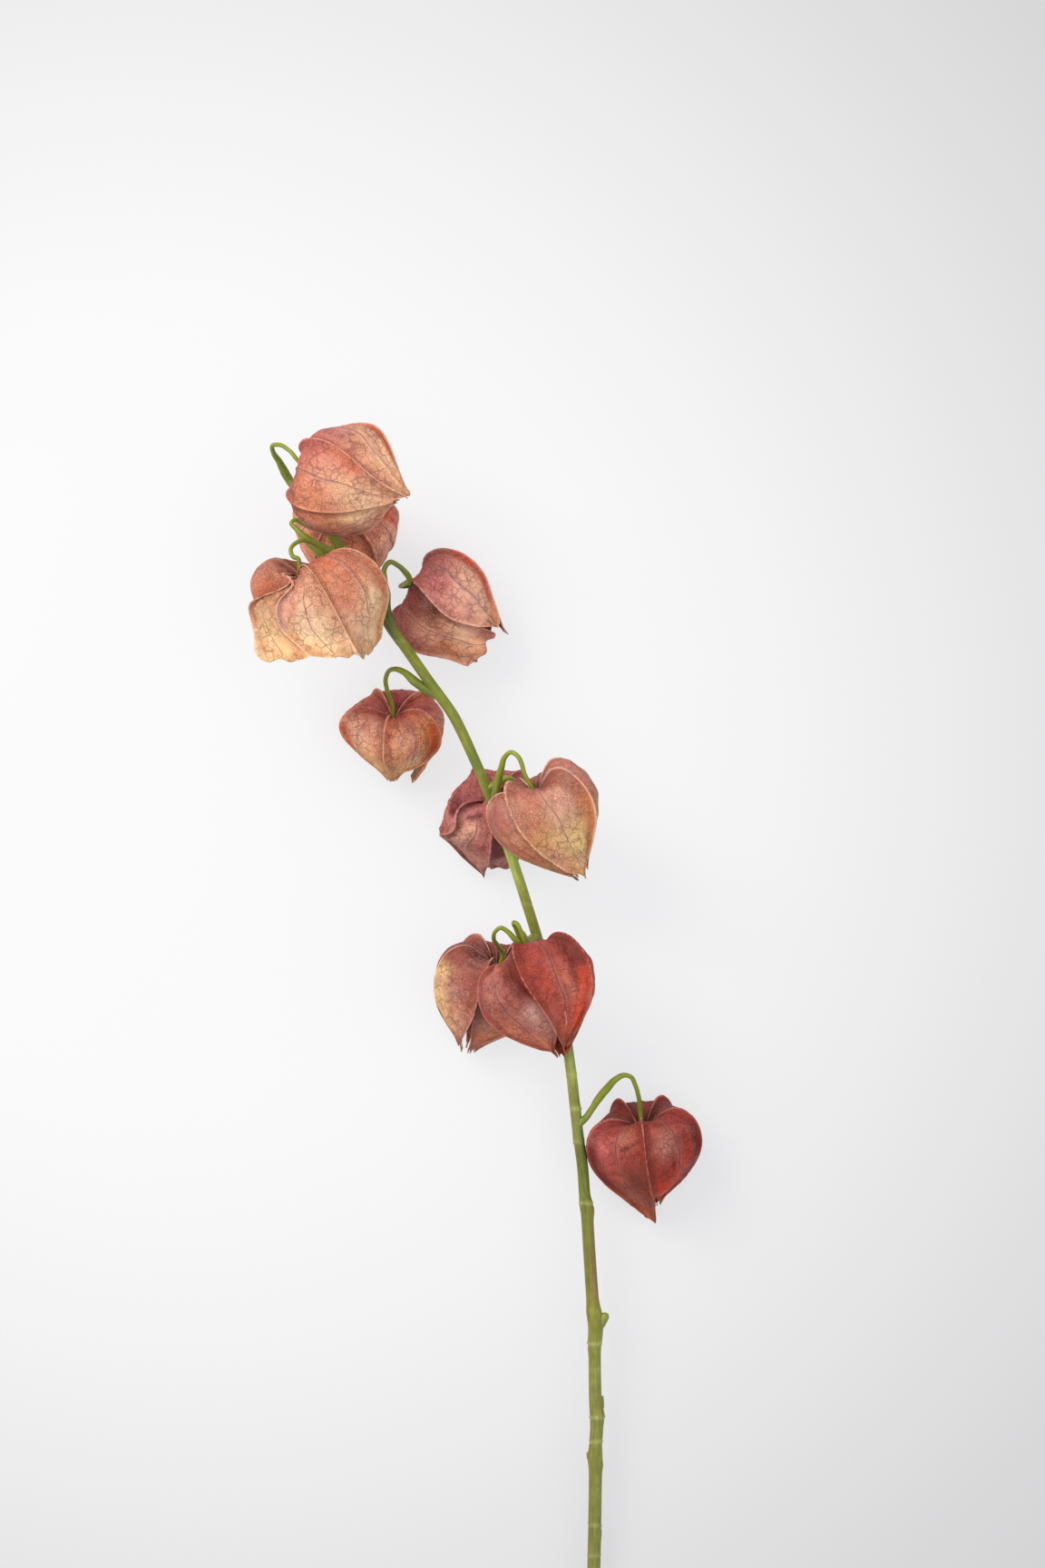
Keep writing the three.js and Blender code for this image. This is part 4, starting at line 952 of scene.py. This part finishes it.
# x, y, z of the middle and the radius, in mm; stem and stalks run as in the stem's solid
stem = {
    "main": (
        (50.9, -299, 3.02, 3), (52.5, -242, 7.5, 3), (53.5, -200.5, 10.5, 2.95), (54, -164, 13, 2.95),
        (54, -160, 13.3, 3.15), (54, -156.5, 13.6, 2.95), (54.5, -147.5, 14.2, 2.95),
        (54.5, -143, 14.6, 3.2), (54, -138, 15, 2.85),
        (53.5, -113.5, 17, 2.75), (53.5, -102, 17.8, 2.95), (53, -95, 18.3, 3.35),
        (52.5, -89, 18.8, 2.8), (51, -66.5, 20.5, 2.7), (50, -51, 21.3, 2.7), (49.5, -46.5, 21.6, 3.05),
        (49, -42.5, 21.9, 2.55), (48, -29.5, 23, 2.45), (46, -15, 24.4, 2.4), (44, 3, 26, 2.35),
        (43, 12, 27, 2.35), (39.5, 34, 29, 2.25), (33.5, 54, 31, 2.25), (27.5, 74, 33.5, 2.25),
        (20, 98, 37.5, 2.25), (15.5, 111.5, 39.5, 2.25), (10.5, 125, 42, 2.25), (5.5, 139, 44, 2.25),
        (0.5, 151, 45, 2.25), (-9, 171, 46.5, 2.35), (-14.5, 179, 47, 2.35), (-20, 186.5, 47, 2.3),
        (-30.5, 201.5, 47, 2.3), (-36, 209, 47, 2.35), (-41.5, 218, 47.5, 2.3), (-54.5, 238.5, 48.5, 2.2),
        (-68, 258, 48, 2.1), (-81.5, 275, 46, 1.9),
    ),
    "stubs": (
        ((53.7, -104, 17.8, 2.4), (56.2, -100, 18.1, 2.6), (58.5, -96.8, 18.3, 1.9),
         (59.1, -95.9, 18.3, 0.8)),
        ((53.4, -164, 13.3, 2), (51.7, -161, 13.4, 1.8), (50.6, -159, 13.5, 0.8)),
        ((55.4, -143, 14.5, 1.4), (56.6, -138, 15, 1.3), (57.1, -133.5, 15.3, 0.5)),
    ),
    "stalks": {
        "lantern_1": (
            (-81.5, 275, 46, 1.9), (-83.5, 278.5, 48, 1.95), (-85.5, 282.5, 51, 1.5),
            (-88, 286.5, 56, 1.05), (-88, 289, 60, 0.95), (-84.5, 289, 63, 0.95), (-80.5, 286.5, 65, 0.95),
            (-77, 282.5, 66, 0.95)),
        "lantern_2": (
            (-54.5, 238.5, 48.5, 2), (-60, 240, 48.5, 2.3), (-66, 242.5, 49, 2.7), (-71, 246.5, 49.5, 2.3),
            (-75.5, 250.5, 50, 1.5), (-78.5, 253.5, 49.5, 1.1), (-80.5, 256, 48.5, 0.95),
            (-79, 257.5, 47, 0.95), (-76, 256, 45, 0.95), (-71.5, 254, 44, 0.95), (-67, 254.5, 43.3, 0.95)),
        "lantern_3": (
            (-54.5, 238.5, 48.5, 2), (-60, 241.5, 51.5, 2), (-65.5, 244.5, 55, 1.7), (-70, 246.5, 59, 1.25),
            (-74, 247.5, 63, 1), (-77.5, 246, 66.5, 0.95), (-79.5, 243, 69.5, 0.95),
            (-78, 239.5, 71.5, 0.95)),
        "lantern_4": (
            (-36, 209, 47, 2), (-37.5, 214, 47.5, 1.9), (-38.5, 219.5, 48, 1.65),
            (-38.5, 224.5, 47.5, 1.65), (-39.5, 230.5, 47, 1.25), (-39.5, 236.5, 46.5, 1.1),
            (-37, 239, 46, 1.1), (-33, 237, 45, 1.1), (-30, 234, 42, 1.35), (-28.8, 231.5, 37.5, 1.35),
            (-31.5, 230, 32, 1.05), (-33.3, 229.3, 26.5, 0.95), (-32, 229.5, 22, 0.95)),
        "lantern_5": (
            (-14.5, 179, 47, 2), (-17.5, 181, 46.5, 1.9), (-21.5, 183, 46, 2), (-27, 187, 45, 2),
            (-31, 190.5, 44, 1.4), (-35.5, 192, 42.5, 1.1), (-38, 191, 40, 1), (-39.5, 187.5, 36, 1),
            (-39, 183, 31.5, 1)),
        "lantern_6": (
            (5.5, 139, 44, 2), (10.5, 141.5, 45, 1.8), (14, 143.5, 45, 1.4), (17, 143, 43, 1.05),
            (16, 142, 38, 0.95), (12.5, 141.5, 33.5, 0.95)),
        "lantern_7": (
            (10.5, 125, 42, 2), (9, 130, 45, 2), (9.5, 136.5, 49, 2.1), (10.5, 142.5, 53, 1.9),
            (12, 148.5, 57, 1.4), (13.5, 153, 60, 1.15), (16, 155, 62, 1), (19, 153.5, 64, 1),
            (21, 149.5, 64.5, 1)),
        "lantern_8": (
            (27.5, 74, 33.5, 2), (23, 71.5, 35, 1.8), (18.5, 72, 36, 1.5), (15, 75.5, 36.5, 1.1),
            (11.5, 77.5, 36.5, 0.95), (9, 75.5, 35, 0.95), (8.5, 72, 30.5, 0.95)),
        "lantern_9": (
            (27.5, 74, 33.5, 2), (25, 72, 38, 2), (23, 71.5, 43, 2.1), (20.5, 75, 49, 2),
            (18.5, 78.5, 54, 1.4), (17.5, 80.5, 57.5, 1.1), (19, 80, 59.5, 0.95), (21, 75.5, 58.5, 0.95)),
        "lantern_10": (
            (45.5, -11, 24.8, 2), (49.5, -7.5, 26, 1.5), (52.5, -3, 27.5, 1.4), (55, 1, 29, 1.7),
            (58.5, 5.5, 31, 1.75), (62.5, 10, 33, 1.4), (66.5, 12, 34, 1.1), (69.5, 11, 34, 1),
            (71.5, 7, 32, 1), (73, 1.5, 28, 1)),
    },
    "hollowDepth": 0.22,    # share of the husk's height that the stalk goes down in its hollow
    "stalkEnd": 0.95,
    "collar": 1.5,          # mm, radius of the stalk's foot on the husk
    "sides": (28, 16),      # faces round the stem, and round a stub or stalk
    "steps": (0.9, 0.6),    # mm from ring to ring
    "weld": 0.0005,         # mm
}


def smoothRoute(route, step):
    # a centripetal Catmull-Rom curve through the route's points, with a point about every step mm
    knots = np.array(route, float)
    first, last = 2 * knots[0] - knots[1], 2 * knots[-1] - knots[-2]
    padded = np.vstack([first, knots, last])
    made = []
    for i in range(1, len(padded) - 2):
        p0, p1, p2, p3 = padded[i - 1:i + 3]
        gaps = [max(1e-4, np.linalg.norm((b - a)[:3]) ** 0.5) for a, b in ((p0, p1), (p1, p2), (p2, p3))]
        into = ((p1 - p0) / gaps[0] - (p2 - p0) / (gaps[0] + gaps[1]) + (p2 - p1) / gaps[1]) * gaps[1]
        out = ((p2 - p1) / gaps[1] - (p3 - p1) / (gaps[1] + gaps[2]) + (p3 - p2) / gaps[2]) * gaps[1]
        cuts = max(2, int(np.linalg.norm((p2 - p1)[:3]) / step))
        for t in np.arange(cuts) / cuts:
            cubed, squared = 2 * p1 - 2 * p2 + into + out, -3 * p1 + 3 * p2 - 2 * into - out
            point = cubed * t ** 3 + squared * t ** 2 + into * t + p1
            point[3] = blend(p1[3], p2[3], t)
            made.append(point)
    made.append(knots[-1])
    return np.array(made)


def makeRod(name, route, sides, step, profile=None):
    # a rod skinned on a net: its two long edges meet, and its ends are drawn together
    line = smoothRoute(route, step)
    line = np.vstack([line[0], line, line[-1]])
    line[0, 3] = line[-1, 3] = 0
    net, flat = flatNet(name, sides, len(line) - 1)
    row = np.round((flat[:, 1] + 1) / 2 * (len(line) - 1)).astype(int)
    turn = (flat[:, 0] + 1) * math.pi
    ahead = np.gradient(line[1:-1, :3], axis=0)
    ahead = np.vstack([ahead[0], ahead, ahead[-1]])
    ahead /= np.linalg.norm(ahead, axis=1)[:, None]
    aside = np.zeros_like(ahead)
    side = np.array((0.0, 0.0, 1.0))
    for i, way in enumerate(ahead):
        side = side - way * (side @ way)
        side /= np.linalg.norm(side)
        aside[i] = side
    other = np.cross(ahead, aside)
    length = np.concatenate([[0], np.cumsum(np.linalg.norm(np.diff(line[:, :3], axis=0), axis=1))])
    radius = line[row, 3]
    if profile:
        radius = radius + np.where(radius > 0, profile(line[row, :3], length[row], turn), 0)
    ring = aside[row] * np.cos(turn)[:, None] + other[row] * np.sin(turn)[:, None]
    points = line[row, :3] + ring * radius[:, None]
    points[:, 2] = np.maximum(points[:, 2], leastHeight)
    setPoints(net, points * mm)
    setMap(net, turn / (2 * math.pi), length[row] * mm)
    return net


def stemProfile(points, length, turn):
    # soft ribs, with a ridge and a groove at each old leaf's scar
    extra = 0.07 * np.sin(5 * turn + 0.004 * length) + 0.04 * np.sin(9 * turn + 1.3)
    for place, height in stemRings:
        wavy = points[:, 1] - place - 0.3 * np.sin(turn + place)
        extra += height * hump(wavy, 0, 0.45) - 0.8 * height * hump(wavy, -1.1, 0.4)
    for place, side, height, reach in stemKnots:
        extra += height * hump(points[:, 1], place, reach) * smooth(0.5 + 0.6 * side * np.sin(turn))
    return extra


def stalkProfile(points, length, turn):
    return 0.04 * np.sin(4 * turn + 1) + 0.03 * np.sin(length * 1.1 + turn)


# y of the scars along the main stem, and how far they stand out, in mm
stemRings = (
    (-206, 0.22), (-192, 0.28), (-154, 0.3), (-143, 0.35), (-109.5, 0.32), (-121, 0.12), (-46, 0.25),
    (-18.5, 0.22), (-3.5, 0.28), (11.5, 0.22), (88, 0.1), (146, 0.12), (204, 0.12),
)
# y of the old buds' swellings, the side that they are on, how far they stand out and their length, in mm
stemKnots = (
    (-100, 1, 0.9, 5), (-107, 1, 0.5, 5), (-50, 1, 0.7, 3), (-141, 1, 0.5, 4), (-162, -1, 0.6, 4),
    (-165, 1, 0.5, 2.5), (-4, 1, 0.3, 2), (-18, -1, 0.25, 2), (-110, -1, 0.4, 4), (-196, 1, 0.3, 3),
)


def wholeStalk(name):
    shape = lanterns[name]
    axis = huskAxis(shape)
    axis[2] *= shape.get("flat", huskForm["flat"])
    bottom = huskPoints(shape, np.array([0]), np.array([0.0]), np.array([0.0]))[0]
    route = list(stem["stalks"][name])
    # mm before the bottom of the hollow, and radius there; the last lies in the husk, as the stalk grows
    deep, collar = stem["hollowDepth"] * shape["height"], stem["collar"]
    for away, radius in ((deep, stem["stalkEnd"]), (2.2, 1.0), (0.8, collar), (-0.3, collar)):
        route.append((*(bottom - axis * away), radius))
    return route


sides, steps = stem["sides"], stem["steps"]
rods = [makeRod("stem_rod", stem["main"], sides[0], steps[0], stemProfile)]
for i, route in enumerate(stem["stubs"]):
    rods.append(makeRod(f"stub_{i}", route, sides[1], steps[1]))
for name in stem["stalks"]:
    rods.append(makeRod(f"stalk_{name}", wholeStalk(name), sides[1], steps[1], stalkProfile))
# how young each rod's bark is: the stem's old, a stub's between, a stalk's young
ages = [0.0] + [0.4] * len(stem["stubs"]) + [1.0] * len(stem["stalks"])
for rod, age in zip(rods, ages):
    setValues(rod, "branch", np.full(len(rod.data.vertices), age))
greenStem = joinPieces(rods)
greenStem.name = "stem_green"
weld(stem["weld"] * mm)
bpy.ops.object.shade_smooth()

stemLook = {
    "old": "#757428", "young": "#808826", "pale": "#b0b470", "streak": "#8a5a38", "bud": "#7a3d2c",
    # least x, then least and greatest y in mm, and over how many mm each of them fades in
    "streakFrom": (51.5, -92, -50), "streakFade": (2.5, 6, 14),
    "budAt": (56.2, -137), "budReach": (0.8, 4.5),      # x and y in mm
    # place and reach in mm, colour, strength
    "patches": (
        ((-38, 216, 47), (5, 16, 8), "#454a2a", 0.9), ((-34, 236, 45), (6, 5, 6), "#5c682c", 0.7),
        ((-21, 183, 45), (9, 5, 6), "#55641f", 0.85), ((10, 135, 48), (4, 9, 6), "#5a6824", 0.75),
        ((-85, 281, 50), (4, 6, 6), "#5a6c22", 0.8), ((-66, 242, 48), (8, 4, 5), "#6f7f24", 0.6),
        # the second patch on the next line, a dark stripe down the stem's right side, is painted shade
        ((47, -10, 26), (5, 8, 5), "#8a9450", 0.5), ((48.5, -20, 24), (1.6, 45, 8), "#57702c", 0.6),
        ((41, 20, 28), (1.6, 20, 8), "#647a30", 0.5), ((-8, 172, 45), (2, 25, 9), "#66703a", 0.5),
        ((0, 151, 46), (3, 6, 6), "#4f6426", 0.6), ((15, 108, 39), (6, 24, 8), "#a4b458", 0.75),
        ((49, -28, 23), (4, 14, 8), "#565c20", 0.7), ((42, 14, 27), (5, 9, 8), "#b4bc60", 0.7),
        ((53, -130, 17), (8, 30, 8), "#868a44", 0.5), ((52, -190, 12), (8, 30, 8), "#7c8040", 0.5),
    ),
}


def stemColours(points, branch):
    names = ("old", "young", "pale", "streak", "bud")
    old, young, pale, streak, budTone = (np.array(linear(stemLook[name])[:3]) for name in names)
    up = smooth((points[:, 1] + 60) / 260)
    colours = blend(old, young, np.maximum(0.45 * up, branch)[:, None])
    for place, height in stemRings:
        amount = (1 - branch) * np.minimum(1, 3 * height) * hump(points[:, 1], place, 0.9)
        colours = blend(colours, pale, 0.7 * amount[:, None])
    # a brown streak on the stem's right side, and a dark bud below it
    (least, low, high), (fadeSide, fadeLow, fadeHigh) = stemLook["streakFrom"], stemLook["streakFade"]
    side = smooth((points[:, 0] - least) / fadeSide)
    side = side * smooth((points[:, 1] - low) / fadeLow) * smooth((high - points[:, 1]) / fadeHigh)
    colours = blend(colours, streak, 0.65 * (side * (1 - branch))[:, None])
    (budX, budY), (reachX, reachY) = stemLook["budAt"], stemLook["budReach"]
    bud = hump(points[:, 1], budY, reachY) * smooth((points[:, 0] - budX) / reachX)
    colours = blend(colours, budTone, 0.8 * bud[:, None])
    for spot, size, tone, strength in stemLook["patches"]:
        away = np.linalg.norm((points - np.array(spot)) / np.array(size), axis=1)
        colours = blend(colours, np.array(linear(tone)[:3]), (strength * np.exp(-away ** 2))[:, None])
    large = noiseAt(points, 22.0, 4, 2)
    return np.clip(colours * (1 + 0.14 * large)[:, None], 0, 1)


branch = valuesOf(greenStem, "branch")
setTint(greenStem, stemColours(pointsOf(greenStem) / mm, branch))
dropValues(greenStem, ("branch",))


# green herb stem: a thin waxy skin over long fibres 0.35 mm apart, so it shines a little along its ribs
greenBark = newMaterial("greenStemSkin", (
    ("tint", "Attribute", {"attribute_name": "tint"}, {}),
    ("place", "TexCoord", {}, {}),
    ("uv", "UVMap", {}, {}),
    ("grain", "VectorMath", {**times, 1: (26.0, 90.0, 1.0)}, {0: "uv"}),
    ("fibre", "TexNoise", {"Scale": 1.0, "Detail": 3.0, "Roughness": 0.6}, {0: "grain"}),
    ("blotch", "TexNoise", {"Scale": 1 / (3.8 * mm), "Detail": 3.0}, {0: ("place", "Object")}),
    ("fibred", "MapRange", {1: 0.3, 2: 0.7, 3: 0.72, 4: 1.28}, {0: "fibre"}),
    ("blotched", "MapRange", {1: 0.3, 2: 0.7, 3: 0.88, 4: 1.12}, {0: "blotch"}),
    ("light", "Math", times, {0: "fibred", 1: "blotched"}),
    ("green", "VectorMath", {"operation": "SCALE"}, {0: "tint", "Scale": "light"}),
    ("lumps", "Math", {**times, 1: 0.5}, {0: "blotch"}),
    ("relief", "Math", plus, {0: "fibre", 1: "lumps"}),
    ("bump", "Bump", {"Strength": 0.4, "Distance": 0.25 * mm}, {"Height": "relief"}),
    ("skin", "BsdfPrincipled", {
        "Roughness": 0.4, "Specular IOR Level": 0.35, "Subsurface Weight": 0.15,
        "Subsurface Radius": (0.5, 0.8, 0.2), "Subsurface Scale": mm},
     {"Base Color": "green", "Normal": "bump"}),
    ("output", "OutputMaterial", {}, {0: "skin"}),
))
greenStem.data.materials.append(greenBark)
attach(greenStem, "root")
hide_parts("stem")
print("stem made:", len(greenStem.data.polygons), "faces")
